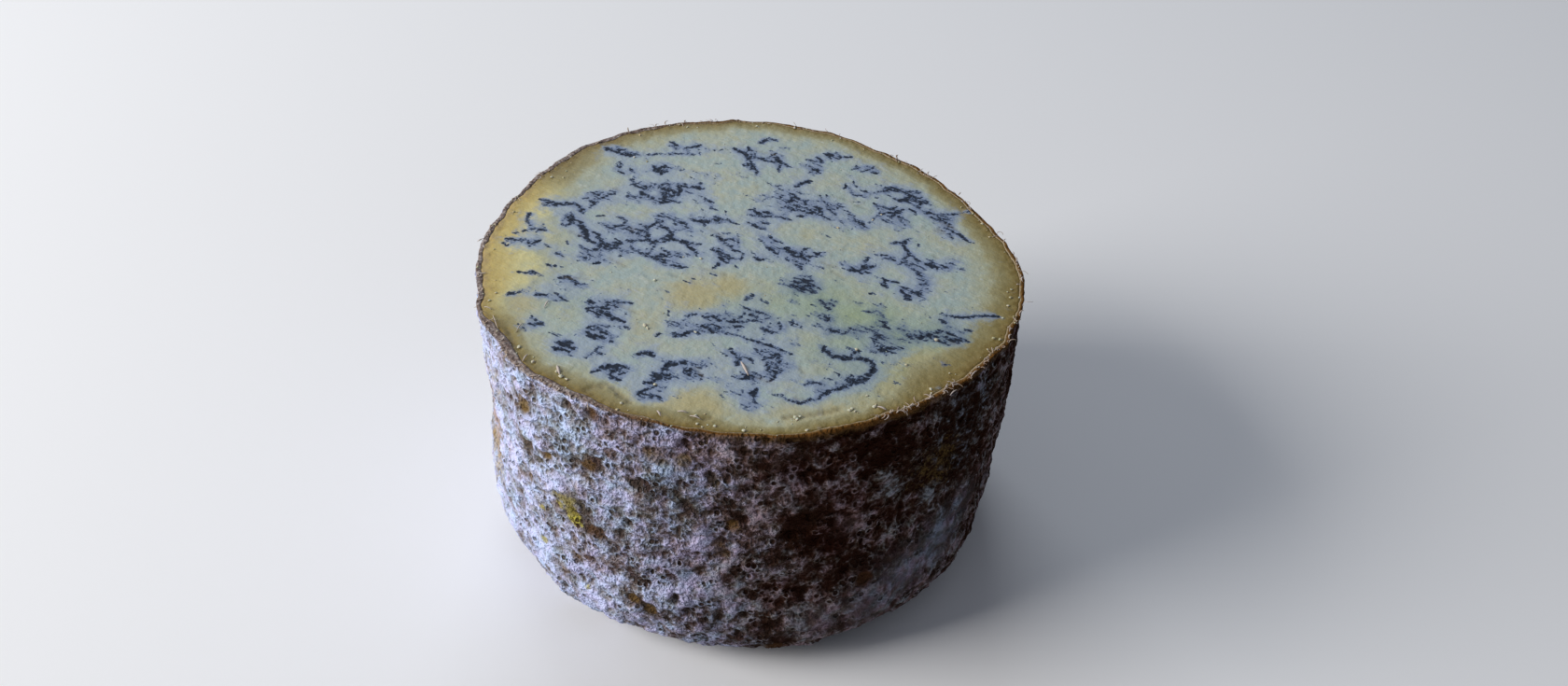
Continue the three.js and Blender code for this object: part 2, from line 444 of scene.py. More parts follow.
# Layers of noise on the rind: size of one feature, octaves, seed.
BLOOM_DRIFTS, BLOOM_TUFTS = (30, 2, 1), (9, 3, 2)
SMOOTH_AREAS, PIT_CROWDS, PAINTED_LIGHT_BORDER = (24, 2, 3), (16, 2, 4), (14, 2, 5)
LUMPS, KNOBS, WRINKLES, CRAG_CRESTS = (4.2, 3, 11), (2.4, 2, 12), (7.5, 3, 13), (4.0, 3, 14)
FOOT_RELIEF, FOOT_DRIFTS = (5, 3, 21), (14, 3, 22)

# Layers of noise along the rind's cut edge: size of one bump, seed.
LIP_WAVES, LIP_STEPS, LIP_CURDS = (9, 31), (3.6, 32), (2.4, 33)

BLOOM_GAIN = 1.3
# The side that faces the key light: the wall is painted in its lit colours there, and with painted shade on
# the far side.
PAINTED_LIGHT_SIDE = math.radians(190)
THIN_SIDE = math.radians(-15)  # where there is the least bloom
BROWN_RIM = 4.5  # how far below the cut the rind is browned
BROWN_COLOUR = 0.22  # as in the spots
LIP_START = 0.4  # the cut edge's mark where it meets the wall, up to 1 where it meets the paste
LIP_TURNED = 302  # angle in degrees where the rind's cut edge turns down over the wall the most
LIP_TURNED_REACH = 18
CRAG_CENTRE = (800, 575)  # pixel in the middle of the slanting crags
CRAG_REACH = 28
CRAG_SLANT = math.radians(39)
CRAG_STRETCH = 3.5
CRAG_HEIGHT = 1.3
MARKS = ("bloom", "tone", "pit", "smooth", "cool", "spot", "yellow", "lip")


def rind_profile():
    """The wall's section from the foot's edge to the cut, evenly spaced: radius, height, way out and up."""
    rows = []
    for i in range(HEEL_ROWS + 1):
        turn = i / HEEL_ROWS * math.pi / 2
        inwards = 1 - math.sin(turn) ** (2 / HEEL_SQUARENESS)
        upwards = 1 - max(0, math.cos(turn)) ** (2 / HEEL_SQUARENESS)
        radius, height = WHEEL_RADIUS - HEEL_SIZE * inwards, HEEL_SIZE * upwards
        out, down = radius - FOOT_RADIUS, height - HEEL_SIZE
        length = math.hypot(out, down)
        rows.append((radius, height, out / length, down / length))
    for i in range(1, WALL_ROWS + 1):
        rows.append((WHEEL_RADIUS, HEEL_SIZE + (CUT_HEIGHT - HEEL_SIZE) * i / WALL_ROWS, 1, 0))
    rows = np.array(rows)
    steps = np.hypot(np.diff(rows[:, 0]), np.diff(rows[:, 1]))
    along = np.concatenate([[0], np.cumsum(steps)])
    wanted = np.linspace(0, along[-1], len(rows))
    return np.stack([np.interp(wanted, along, column) for column in rows.T], 1)


def wall_places(angle, rows, extra):
    """Points of the wall for each row of the section and each angle, moved outwards by extra."""
    radius, height, out, up = (rows[:, i, None] + 0 * angle for i in range(4))
    ragged = RIM_RAGGED[1] * wall_noise(angle, 0 * angle, RIM_RAGGED[0], RIM_RAGGED[2])
    at_rim = smooth_step(height, CUT_HEIGHT - RIM_FADE, CUT_HEIGHT)
    relief = rind_relief(angle + 0 * height, height) + ragged * at_rim + extra
    radius = (radius + out * relief) * (1 + outline_offset(angle, height) / WHEEL_RADIUS)
    x, y = radius * np.cos(angle), radius * np.sin(angle)
    return np.stack([x, y, np.maximum(0, sloped(x, height + up * relief))], 2)


class Wall:
    """The points of the wall, and ways to find and mark the places on it that the photograph shows."""

    def __init__(self, points, angle, height):
        self.points, self.angle, self.height = points, angle, height
        self.unseen = 1 - smooth_step(-np.sin(angle), *IN_VIEW)
        self.tree = kdtree.KDTree(len(points))
        for index, point in enumerate(points.tolist()):
            self.tree.insert(point, index)
        self.tree.balance()

    def field(self, layer):
        """Noise over the wall, by a layer's size, octaves and seed."""
        return field(self.points, *layer)

    def distance_to(self, px, py):
        """Distance along the wall from the place that a pixel shows."""
        angle, height = on_wall(px, py)
        return np.hypot(turn_from(angle, self.angle) * WHEEL_RADIUS, self.height - height)

    def hump(self, px, py, radius):
        """1 at the place that a pixel shows, and less round it."""
        return np.exp(-((self.distance_to(px, py) / radius) ** 2))

    def point_at(self, px, py):
        return self.points[np.argmin(self.distance_to(px, py))]

    def stamp(self, target, centre, radius, amount):
        """Raises target to amount round a centre, as a round hump."""
        for _, index, distance in self.tree.find_range(centre, radius):
            hump = (1 - (distance / radius) ** 2) ** 2
            target[index] = max(target[index], amount * hump)


def bloom_marks(wall):
    """The mould bloom: how much there is, the painted light and painted shade by side, its cast, and where it
    is smooth.
    """
    bloom = 0.50 - 0.15 * np.cos(wall.angle - THIN_SIDE)
    bloom += 0.16 * wall.field(BLOOM_DRIFTS) * (0.4 + 0.5 * wall.unseen) + 0.34 * wall.field(BLOOM_TUFTS)
    for px, py, radius, change in BLOOM_AND_SHADE_PATCHES:
        bloom += BLOOM_GAIN * change * wall.hump(px, py, radius)
    # Painted light and shade by side: 1 for the lit colours towards the key light, 0 for the painted shade
    # away from it.
    tone = smooth_step(np.cos(wall.angle - PAINTED_LIGHT_SIDE) + 0.2 * wall.field(PAINTED_LIGHT_BORDER), -0.15, 0.93)
    cool = np.zeros(len(wall.points))
    for px, py, radius, change in COOL_PATCHES:
        cool += change * wall.hump(px, py, radius)
    smooth = 0.6 * wall.unseen * smooth_step(wall.field(SMOOTH_AREAS), 0.35, 0.7)
    for px, py, radius, strength in SMOOTH_PATCHES:
        smooth = np.maximum(smooth, strength * wall.hump(px, py, radius))
    return {"bloom": bloom, "tone": tone, "cool": cool, "smooth": smooth}


def pit_depths(wall, smooth, draw):
    """Depth of the wall's pits and craters."""
    pit = np.zeros(len(wall.points))
    crowd = wall.field(PIT_CROWDS)
    for index in draw.integers(0, len(wall.points), RANDOM_PITS):
        reach = draw.random() ** PIT_UNEVENNESS
        if draw.random() < PIT_CHANCE + PIT_CROWDING * crowd[index] - smooth[index]:
            radius = PIT_RADII[0] + (PIT_RADII[1] - PIT_RADII[0]) * reach
            wall.stamp(pit, wall.points[index], PIT_SPREAD * radius, PIT_DEPTH * radius)
    for index in draw.integers(0, len(wall.points), RANDOM_CRATERS):
        radius, depth = draw.uniform(*CRATER_RADII), draw.uniform(*CRATER_DEPTHS)
        if wall.unseen[index] > 0.5:
            wall.stamp(pit, wall.points[index], RANDOM_CRATER_SPREAD * radius, depth)
    for px, py, radius, depth in CRATERS:
        wall.stamp(pit, wall.point_at(px, py), CRATER_SPREAD * radius, depth)
    return pit


def spot_marks(wall, draw):
    """The wall's spots and stains: how strong, and their colour."""
    spots = [(wall.point_at(px, py), radius, colour, 1) for px, py, radius, colour in SPOTS]
    spots += [(wall.point_at(px, py), *wash) for px, py, *wash in WASHES]
    for index in draw.integers(0, len(wall.points), RANDOM_SPOTS):
        radius, colour = draw.uniform(*SPOT_RADII), 0.78 * draw.uniform(*SPOT_COLOURS) ** 1.5
        if wall.unseen[index] > 0.5:
            spots.append((wall.points[index], radius, colour, 1))
    spot, yellow = np.zeros(len(wall.points)), np.zeros(len(wall.points))
    for centre, radius, colour, strength in spots:
        reach = SPOT_SPREAD * radius
        for _, index, distance in wall.tree.find_range(centre, reach):
            share = strength * (1 - (distance / reach) ** 2)
            if share > spot[index]:
                spot[index], yellow[index] = share, colour
    return spot, yellow


def rind_marks(wall):
    """What is on the wall at each of its points, and how far scabs and pits move it outwards."""
    draw = np.random.default_rng(RIND_SEED)
    marks = bloom_marks(wall)
    pit = pit_depths(wall, marks["smooth"], draw)
    scab = np.zeros(len(wall.points))
    for px, py, radius, size in SCABS:
        wall.stamp(scab, wall.point_at(px, py), SCAB_SPREAD * radius, size)
    spot, yellow = spot_marks(wall, draw)

    # The rind is browned below the cut, and more on the side painted in shade, and its cut edge's colour
    # turns down over the wall.
    browned = (1.1 - 0.95 * marks["tone"]) * smooth_step(wall.height, CUT_HEIGHT - BROWN_RIM, CUT_HEIGHT)
    wide = np.exp(-(((np.degrees(wall.angle) - LIP_TURNED) / LIP_TURNED_REACH) ** 2))
    lip = LIP_START * smooth_step(wall.height, CUT_HEIGHT - 1 - 2 * wide, CUT_HEIGHT)
    marks.update(pit=pit, spot=np.maximum(spot, browned), lip=lip)
    marks["yellow"] = np.where(browned > spot, BROWN_COLOUR, yellow)
    return marks, scab - pit


def crags(wall):
    """Slanting crests in one part of the wall."""
    around = wall.angle * WHEEL_RADIUS
    ahead = around * math.cos(CRAG_SLANT) + wall.height * math.sin(CRAG_SLANT)
    aside = wall.height * math.cos(CRAG_SLANT) - around * math.sin(CRAG_SLANT)
    crests = 0.35 - np.abs(flat_field(ahead / CRAG_STRETCH, aside, CRAG_CRESTS))
    return CRAG_HEIGHT * crests * wall.hump(*CRAG_CENTRE, CRAG_REACH)


# Charts give a place in the texture for a share of the turn, its quarter, and t across the rings.
WALL_CORNER, WALL_PITCH, WALL_SIZE = (0.01, 0.29), (0.49, 0.35), (0.47, 0.34)
LIP_CORNER, LIP_PITCH, LIP_SIZE = (0.32, 0.18), 0.022, (0.66, 0.018)
HIDDEN_CORNER, HIDDEN_SIZE = (0.32, 0.02), (0.6, 0.14)
CUT_SPAN = 0.455


def wall_chart(share, quarter, t):
    """The wall's four quarters, laid out two by two."""
    across = WALL_CORNER[0] + WALL_PITCH[0] * (quarter % 2) + WALL_SIZE[0] * (share * 4 - quarter)
    return across, WALL_CORNER[1] + WALL_PITCH[1] * (quarter // 2) + WALL_SIZE[1] * t


def lip_chart(share, quarter, t):
    """The rind's own cut edge, in four strips one above the other."""
    across = LIP_CORNER[0] + LIP_SIZE[0] * (share * 4 - quarter)
    return across, LIP_CORNER[1] + LIP_PITCH * quarter + LIP_SIZE[1] * t


def hidden_chart(share, quarter, t):
    """What never shows, in a small strip."""
    return HIDDEN_CORNER[0] + HIDDEN_SIZE[0] * share, HIDDEN_CORNER[1] + HIDDEN_SIZE[1] * t


def disc_chart(across, up, span):
    """A chart of a disc round a middle, where t is the share of its radius."""

    def chart(share, quarter, t):
        return across + span * t * np.cos(share * TURN), up + span * t * np.sin(share * TURN)

    return chart


foot_chart = disc_chart(0.15, 0.145, 0.135)
corner_chart = disc_chart(0.06, 0.06, 0.05)  # the paste's sides and bottom, which never show


def lip_thickness(angle):
    """Thickness of the rind where the wire cut it."""
    thickness = RIND_THICKNESS + 0.45 * wall_noise(angle, 0 * angle, *LIP_WAVES)
    thickness += 0.25 * wall_noise(angle, 0 * angle, *LIP_STEPS)
    for centre, half_width, extra in CRUMPLED_LIPS:
        aside = turn_from(math.radians(centre), angle) / math.radians(half_width)
        thickness += extra * np.exp(-(aside**2))
    return thickness


def cut_level(x, y):
    """Height of the cut face, with the long waves that the wire left."""
    bump, size, seed = WIRE_WAVE
    return sloped(x, CUT_HEIGHT + size * lattice_noise(x / bump, y / bump, LATTICE_COLUMNS, seed))


def level_ring(radius, turn, height):
    """The points of a ring at a height, which follows the slope of the cut."""
    x, y = radius * np.cos(turn), radius * np.sin(turn)
    return np.stack([x, y, sloped(x, height + 0 * x)], 1)


def add_foot(shell):
    """Adds the foot from its centre out, and returns its last ring and that ring's share of the radius."""
    last = None
    for count, inner, outer in FOOT_ZONES:
        for radius in np.arange(inner, outer, FOOT_STEP):
            turn = np.arange(count) / count * TURN
            scaled = radius * (1 + (SETTLING + out_of_round(turn, HEEL_LOBES)) / WHEEL_RADIUS)
            flat = np.stack([scaled * np.cos(turn), scaled * np.sin(turn), 0 * turn], 1)
            lift = np.clip(FOOT_HOLLOW + 0.4 * field(flat, *FOOT_RELIEF), 0, 1)
            lift *= smooth_step(FOOT_RADIUS - radius, 0, 6)
            bloom = FOOT_BLOOM + 0.3 * field(flat, *FOOT_DRIFTS)
            # Painted light and shade: the foot is lighter towards the key light and darker away from it.
            tone = FOOT_PAINTED_LIGHT * (1 - flat[:, 0] / FOOT_RADIUS)
            ring = shell.ring(flat + lift[:, None] * [0, 0, 1], bloom=bloom, tone=tone, pit=0.6 * lift)
            t = radius / FOOT_RADIUS
            if last is None:
                middle = np.array([0, 0, FOOT_HOLLOW])
                shell.cap(ring, middle, foot_chart, t, True, bloom=FOOT_BLOOM, tone=FOOT_PAINTED_LIGHT)
            else:
                shell.band(last[0], ring, foot_chart, last[1], t)
            last = (ring, t)
    return last


def wall_surface(angle):
    """The wall's points, row by row from the foot up, and their marks."""
    rows = rind_profile()
    plain = wall_places(angle, rows, 0).reshape(-1, 3)
    wall = Wall(plain, np.tile(angle, len(rows)), np.repeat(rows[:, 1], RIND_SEGMENTS))
    marks, bumps = rind_marks(wall)
    rough = 0.85 * wall.field(LUMPS) + 0.55 * wall.field(KNOBS)
    rough -= 0.50 * np.abs(wall.field(WRINKLES))
    rough += crags(wall)
    marks["bloom"] += 0.25 * rough + 0.04
    extra = rough * (1 - 0.75 * marks["smooth"]) + bumps
    extra = extra.reshape(len(rows), RIND_SEGMENTS) * smooth_step(rows[:, 1, None], -2, 5)
    extra[-1] *= 0.3
    return wall_places(angle, rows, extra), marks


def add_lip(shell, last, angle, rim, thickness):
    """Adds the rind's own cut edge from the rim inwards, and returns its last ring."""
    # Pale on the left: partly the cut edge's own colour and partly painted light, as the same mark picks the
    # lit colours.
    pale_and_lit = smooth_step(-np.cos(angle), 0.2, 0.6)
    for i in range(1, LIP_ROWS + 1):
        share = i / LIP_ROWS
        radius = rim - thickness * share
        x, y = radius * np.cos(angle), radius * np.sin(angle)
        grain = wall_noise(angle, 9 * share + 0 * angle, *LIP_CURDS)
        crown = (LIP_CROWN + LIP_GRAIN * grain) * math.sin(math.pi * share) - LIP_DROP
        mark = LIP_START + (1 - LIP_START) * share
        ring = shell.ring(np.stack([x, y, cut_level(x, y) + crown], 1), lip=mark, tone=pale_and_lit)
        shell.band(last, ring, lip_chart, (i - 1) / LIP_ROWS, share)
        last = ring
    return last


def make_rind(material):
    """The rind as a closed shell: foot, wall, the cut edge, and the inside that the paste fills."""
    shell = Shell()
    last, t_last = add_foot(shell)

    angle = np.arange(RIND_SEGMENTS) / RIND_SEGMENTS * TURN
    wall, marks = wall_surface(angle)
    for i, row in enumerate(wall):
        here = slice(i * RIND_SEGMENTS, (i + 1) * RIND_SEGMENTS)
        ring = shell.ring(row, **{name: values[here] for name, values in marks.items()})
        if i == 0:
            shell.band(last, ring, foot_chart, t_last, 1)
        else:
            shell.band(last, ring, wall_chart, (i - 1) / (len(wall) - 1), i / (len(wall) - 1))
        last = ring

    rim = np.hypot(wall[-1, :, 0], wall[-1, :, 1])
    thickness = lip_thickness(angle)
    last = add_lip(shell, last, angle, rim, thickness)

    inner = rim - thickness
    for i, (count, scale, height) in enumerate(INSIDE_RINGS):
        stride = RIND_SEGMENTS // count
        ring = shell.ring(level_ring(inner[::stride] * scale, angle[::stride], height))
        shell.band(last, ring, hidden_chart, 1 - i * INSIDE_T_STEP, 1 - (i + 1) * INSIDE_T_STEP)
        last = ring
    shell.cap(last, np.array([0, 0, INSIDE_RINGS[-1][2]]), hidden_chart, 0.2, False)
    return shell.build("rind", material, MARKS)


# ---------------------------------------------------------------------------------------------
# The marbling of the cut face.

# Veins that show: darkness, width in mm, then the pixels that each runs through.
VEINS = [
    (0.80, 1.6, (541, 317), (549, 314), (557, 313)), (0.45, 0.8, (557, 313), (568, 312), (579, 309)),
    (0.60, 0.7, (580, 316), (593, 321)), (0.40, 0.8, (596, 320), (608, 319), (620, 315)),
    (0.85, 1.6, (575, 347), (582, 345)), (0.70, 0.9, (590, 356), (601, 360)),
    (1.00, 3.0, (596, 372), (604, 369), (611, 373)), (0.85, 1.1, (606, 366), (613, 367)),
    (0.80, 1.0, (607, 376), (613, 381)), (0.95, 1.6, (631, 322), (637, 325)),
    (0.95, 1.5, (631, 329), (644, 333), (659, 341), (668, 345)), (0.70, 1.6, (664, 350), (672, 352)),
    (0.80, 1.5, (657, 325), (667, 323), (679, 325)), (0.85, 1.2, (631, 351), (643, 354), (657, 359)),
    (0.85, 1.2, (629, 358), (641, 361), (654, 366)), (0.65, 1.0, (645, 362), (656, 362), (664, 360)),
    (0.75, 1.4, (645, 370), (636, 377), (628, 384)), (0.70, 1.0, (640, 378), (649, 380)),
    (0.95, 1.7, (682, 379), (692, 378), (702, 381)), (0.60, 0.7, (704, 384), (717, 388)),
    (1.00, 1.5, (634, 399), (644, 394), (659, 391), (674, 394)), (0.60, 0.9, (674, 394), (685, 396)),
    (0.70, 2.2, (652, 399), (660, 404), (664, 407)), (1.00, 2.2, (710, 397), (716, 392), (724, 389)),
    (1.00, 1.8, (724, 389), (733, 388), (740, 389)), (1.00, 3.2, (735, 395), (739, 398)),
    (0.60, 0.8, (745, 391), (757, 394)), (0.75, 1.3, (733, 402), (739, 406), (745, 409)),
    (0.75, 1.4, (709, 400), (703, 407), (699, 414)), (0.70, 1.8, (702, 412), (708, 418)),
    (0.65, 2.0, (684, 426), (692, 424), (703, 428)), (0.85, 3.0, (846, 304), (856, 310), (876, 312)),
    (0.80, 1.4, (861, 307), (872, 306), (880, 310)), (0.85, 1.8, (797, 322), (806, 317)),
    (0.85, 0.9, (796, 329), (808, 333), (819, 337)), (0.75, 1.1, (819, 337), (827, 339), (834, 341)),
    (0.65, 1.0, (816, 320), (823, 326)), (0.60, 0.9, (848, 320), (857, 326)),
    (0.70, 1.3, (756, 336), (764, 339), (774, 341)), (0.60, 1.0, (770, 336), (782, 336), (789, 339)),
    (0.60, 1.3, (742, 352), (752, 348), (764, 352)),
    (0.80, 1.1, (750, 349), (764, 353), (778, 356), (790, 359), (803, 363)),
    (0.85, 0.9, (803, 363), (816, 367), (829, 371), (838, 375), (847, 379)),
    (0.80, 1.6, (721, 361), (730, 359), (740, 357)), (0.60, 1.3, (716, 344), (726, 348), (735, 342)),
    (0.55, 1.2, (768, 345), (776, 350), (784, 349)), (0.80, 1.3, (846, 343), (852, 346), (859, 351)),
    (0.60, 0.8, (826, 346), (822, 352), (816, 360)), (0.65, 1.2, (866, 338), (876, 335), (888, 337)),
    (0.60, 1.1, (848, 339), (856, 338)), (0.70, 1.0, (847, 368), (858, 370)),
    (0.90, 1.6, (783, 374), (788, 379), (791, 384), (790, 390)),
    (0.80, 1.2, (790, 380), (799, 383), (808, 387)), (0.55, 2.6, (810, 374), (814, 380)),
    (0.75, 1.2, (826, 380), (838, 382)), (0.80, 1.5, (821, 397), (831, 393), (838, 390), (844, 389)),
    (0.65, 1.0, (831, 386), (846, 394)), (0.85, 1.3, (805, 403), (809, 405)),
    (0.80, 1.2, (826, 401), (829, 405)), (0.55, 1.2, (755, 405), (764, 404), (771, 408), (779, 413)),
    (0.75, 0.8, (776, 419), (784, 420), (793, 423)), (0.60, 1.0, (793, 423), (801, 421)),
    (1.00, 2.6, (804, 422), (809, 422)), (0.70, 1.3, (808, 426), (805, 433)),
    (0.70, 1.9, (799, 438), (808, 436)), (0.45, 1.0, (808, 447), (816, 445)),
    (0.85, 1.0, (829, 423), (836, 424), (842, 427)), (0.85, 1.4, (842, 427), (851, 431), (859, 432)),
    (0.80, 1.4, (862, 413), (869, 411), (877, 411), (884, 414)),
    (1.00, 1.7, (882, 370), (885, 376), (890, 380)),
    (1.00, 1.8, (890, 380), (899, 382), (911, 384), (922, 384)),
    (1.00, 1.6, (922, 384), (931, 386), (937, 391), (936, 397), (930, 403)),
    (0.95, 1.9, (930, 403), (921, 409), (913, 412)),
    (0.90, 1.7, (913, 412), (903, 415), (891, 419), (882, 424)),
    (0.85, 1.5, (882, 424), (875, 429), (865, 430)), (0.60, 1.4, (872, 421), (884, 418)),
    (0.75, 0.9, (912, 351), (921, 353), (930, 356)), (0.60, 1.6, (883, 358), (888, 354), (894, 351)),
    (0.75, 1.0, (923, 332), (932, 334), (943, 332)), (0.85, 1.2, (920, 376), (923, 375)),
    (1.00, 2.8, (1013, 363), (1022, 364), (1030, 366)), (1.00, 1.8, (1024, 358), (1016, 358)),
    (0.85, 1.1, (1028, 362), (1038, 366)), (0.70, 1.4, (1034, 353), (1043, 355)),
    (0.55, 0.6, (1009, 391), (1017, 390)), (0.45, 0.8, (962, 411), (969, 410)),
    (0.55, 0.7, (938, 425), (943, 425)), (0.80, 1.6, (814, 155), (823, 149), (834, 152)),
    (0.75, 1.4, (836, 158), (846, 160)),
]

# Thickets of short strokes that show: pixel, half widths across and down, tilt in degrees, how many.
THICKETS = [
    (645, 334, 14, 9, 26, 6), (642, 357, 12, 8, 24, 6), (604, 371, 10, 5, 10, 4),
    (768, 340, 16, 6, 14, 7), (764, 352, 15, 6, 20, 7), (730, 350, 14, 8, -10, 6),
    (708, 408, 10, 8, 5, 6), (836, 392, 13, 7, -22, 8), (945, 348, 9, 12, 30, 9),
    (945, 364, 11, 7, 25, 8), (974, 359, 20, 5, 2, 11), (953, 374, 16, 5, 5, 10),
    (1020, 362, 10, 5, 8, 5), (862, 305, 18, 6, 12, 8), (886, 322, 14, 8, 25, 4),
    (820, 382, 16, 8, 18, 4), (890, 354, 10, 6, -10, 3), (920, 409, 12, 5, -22, 5),
    (738, 398, 12, 8, 15, 6), (572, 345, 10, 6, 20, 4), (655, 328, 12, 5, 20, 4),
    (655, 398, 12, 6, -10, 4), (800, 345, 16, 8, 15, 5), (838, 352, 14, 8, 20, 4),
    (800, 402, 14, 8, 15, 4), (832, 400, 10, 6, -15, 4), (925, 352, 14, 8, 15, 6),
    (1000, 360, 12, 5, 5, 5), (695, 422, 12, 6, 10, 4), (590, 318, 14, 4, 5, 3), (805, 432, 8, 8, 60, 3),
    (885, 345, 12, 8, 25, 4),
]

# The lower edge of the cut face that the photograph hides under the wedges, in pixels.
HIDDEN_EDGE = [
    (500, 262), (588, 304), (700, 312), (845, 275), (905, 308), (1000, 350), (1045, 352), (1105, 330),
]
MARBLING_SEED, HIDDEN_SEED = 23, 5
HIDDEN_THICKETS = 54
HIDDEN_CURVES = 44
HIDDEN_REACH = 84  # how far in mm from the middle of the cut face they lie
FLECKS = 300
FLECK_REACH = 86
SMEAR = math.radians(-30)  # the way that the wire smeared the paste

CELL = 0.25
HALF_SPAN = 106
FADE = 1.1  # how far in mm a vein fades outside its width
DAB_STEP = 0.35  # mm between the dabs that make up a vein
DAB_SIZES = (0.3, 1.5)  # shares of the vein's width
DAB_SHADES = (0.6, 1.15)  # shares of the vein's darkness
DAB_STRAY = 0.22  # share of the width that a dab strays from the vein's middle
WINDING_STEP = 1.4
WINDING = 0.22
FORKING = 0.10
FORK_TURNS = (0.3, 0.9)
THICKET_SHARE = 1.4


class Marbling:
    """The veins, painted in cells over the cut face."""

    def __init__(self):
        self.count = round(2 * HALF_SPAN / CELL)
        self.dark = np.zeros((self.count, self.count))
        self.draw = np.random.default_rng(MARBLING_SEED)

    def dab(self, x, y, radius, darkness):
        """One round dab of blue mould, which fades evenly from its middle."""
        reach = radius + FADE
        low = [max(0, int((v + HALF_SPAN - reach) / CELL)) for v in (x, y)]
        high = [min(self.count, int((v + HALF_SPAN + reach) / CELL) + 2) for v in (x, y)]
        if low[0] >= high[0] or low[1] >= high[1]:
            return
        across = np.arange(low[0], high[0]) * CELL - HALF_SPAN - x
        along = np.arange(low[1], high[1]) * CELL - HALF_SPAN - y
        distance = np.hypot(across[:, None], along[None, :]) / reach
        area = self.dark[low[0] : high[0], low[1] : high[1]]
        np.maximum(area, darkness * np.clip(1 - distance, 0, 1), out=area)

    def stroke(self, points, width, darkness):
        """A vein through points, uneven in width and thin at its ends."""
        points = np.array(points, float)
        steps = np.hypot(*np.diff(points, axis=0).T)
        along = np.concatenate([[0], np.cumsum(steps)])
        length = along[-1] + 0.2
        for place in np.arange(0, length, DAB_STEP):
            share = place / length
            taper = 0.5 + 0.5 * math.sin(math.pi * min(1, share * 1.02))
            radius = 0.5 * width * taper * self.draw.uniform(*DAB_SIZES)
            x = np.interp(place, along, points[:, 0]) + self.draw.normal(0, DAB_STRAY * width)
            y = np.interp(place, along, points[:, 1]) + self.draw.normal(0, DAB_STRAY * width)
            self.dab(x, y, radius, darkness * self.draw.uniform(*DAB_SHADES))

    def branch(self, start, heading, length, width, darkness):
        """A vein that winds on from a place, with forks that are shorter and thinner."""
        points = [np.array(start, float)]
        turn = self.draw.normal(0, 0.1)
        for _ in range(max(2, round(length / WINDING_STEP))):
            turn = 0.5 * turn + self.draw.normal(0, WINDING)
            heading += turn
            points.append(points[-1] + WINDING_STEP * np.array([math.cos(heading), math.sin(heading)]))
            if width > 0.5 and self.draw.random() < FORKING:
                aside = heading + self.draw.choice([-1, 1]) * self.draw.uniform(*FORK_TURNS)
                self.branch(points[-1], aside, 0.5 * length, 0.7 * width, 0.85 * darkness)
        self.stroke(points, width, darkness)

    def thicket(self, x, y, axes, tilt, count):
        """Short winding veins close together, round a place on the cut face."""
        for _ in range(round(THICKET_SHARE * count)):
            turn = tilt + self.draw.normal(0, 0.3)
            out = self.draw.normal(0, 0.6, 2)
            middle = np.array([x, y]) + out[0] * axes[0] + out[1] * axes[1]
            length = 1.0 + 5.5 * self.draw.random() ** 1.6
            start = middle - 0.5 * length * np.array([math.cos(turn), math.sin(turn)])
            width, darkness = self.draw.uniform(0.3, 1.1), self.draw.uniform(0.5, 1.0)
            self.branch(start, turn, length, width, darkness)

    def halo(self, spread):
        """The blue haze round the veins: the dark cells, blurred."""
        rate = np.fft.fftfreq(self.count, CELL)
        blur = np.exp(-2 * (math.pi * spread * rate) ** 2)
        return np.fft.ifft2(np.fft.fft2(self.dark) * blur[:, None] * blur[None, :]).real

    def at(self, cells, x, y):
        """The value of cells at places on the cut face."""
        u = np.clip((x + HALF_SPAN) / CELL, 0, self.count - 2)
        v = np.clip((y + HALF_SPAN) / CELL, 0, self.count - 2)
        i, j = u.astype(int), v.astype(int)
        s, t = u - i, v - j
        low = cells[i, j] * (1 - s) + cells[i + 1, j] * s
        high = cells[i, j + 1] * (1 - s) + cells[i + 1, j + 1] * s
        return low * (1 - t) + high * t


def is_hidden(x, y, edge):
    """Whether a place on the cut face lies behind the edge that the wedges leave."""
    return y > np.interp(x, edge[:, 0], edge[:, 1])


def random_place(draw, reach):
    """A place on the cut face within a reach of its middle."""
    radius, turn = reach * math.sqrt(draw.random()), draw.uniform(0, TURN)
    return radius * math.cos(turn), radius * math.sin(turn)


def paint_visible(marbling):
    """The veins and thickets that show."""
    for darkness, width, *pixels in VEINS:
        marbling.stroke([on_cut(*pixel) for pixel in pixels], width, darkness)
    for px, py, across, down, tilt, count in THICKETS:
        x, y = on_cut(px, py)
        side = np.subtract(on_cut(px + across, py), (x, y))
        front = np.subtract(on_cut(px, py + down), (x, y))
        turn = math.radians(tilt)
        way = np.subtract(on_cut(px + math.cos(turn), py + math.sin(turn)), (x, y))
        marbling.thicket(x, y, (side, front), math.atan2(way[1], way[0]), count)


def paint_hidden(marbling, draw):
    """The same kind of veins over the part of the cut face that is hidden."""
    edge = np.array([on_cut(*pixel) for pixel in HIDDEN_EDGE])
    placed = 0
    while placed < HIDDEN_THICKETS + HIDDEN_CURVES:
        x, y = random_place(draw, HIDDEN_REACH)
        tilt = SMEAR + draw.normal(0, 0.35)
        size, count = draw.uniform((3, 1.5), (10, 4)), draw.integers(3, 11)
        length, width, darkness = draw.uniform(5, 24), draw.uniform(0.7, 1.8), draw.uniform(0.7, 1.0)
        if not is_hidden(x, y, edge):
            continue
        placed += 1
        if placed <= HIDDEN_THICKETS:
            ahead = np.array([math.cos(tilt), math.sin(tilt)])
            aside = np.array([-ahead[1], ahead[0]])
            marbling.thicket(x, y, (size[0] * ahead, size[1] * aside), tilt, count)
        else:
            marbling.branch((x, y), tilt + draw.choice([0, 0, math.pi]), length, width, darkness)


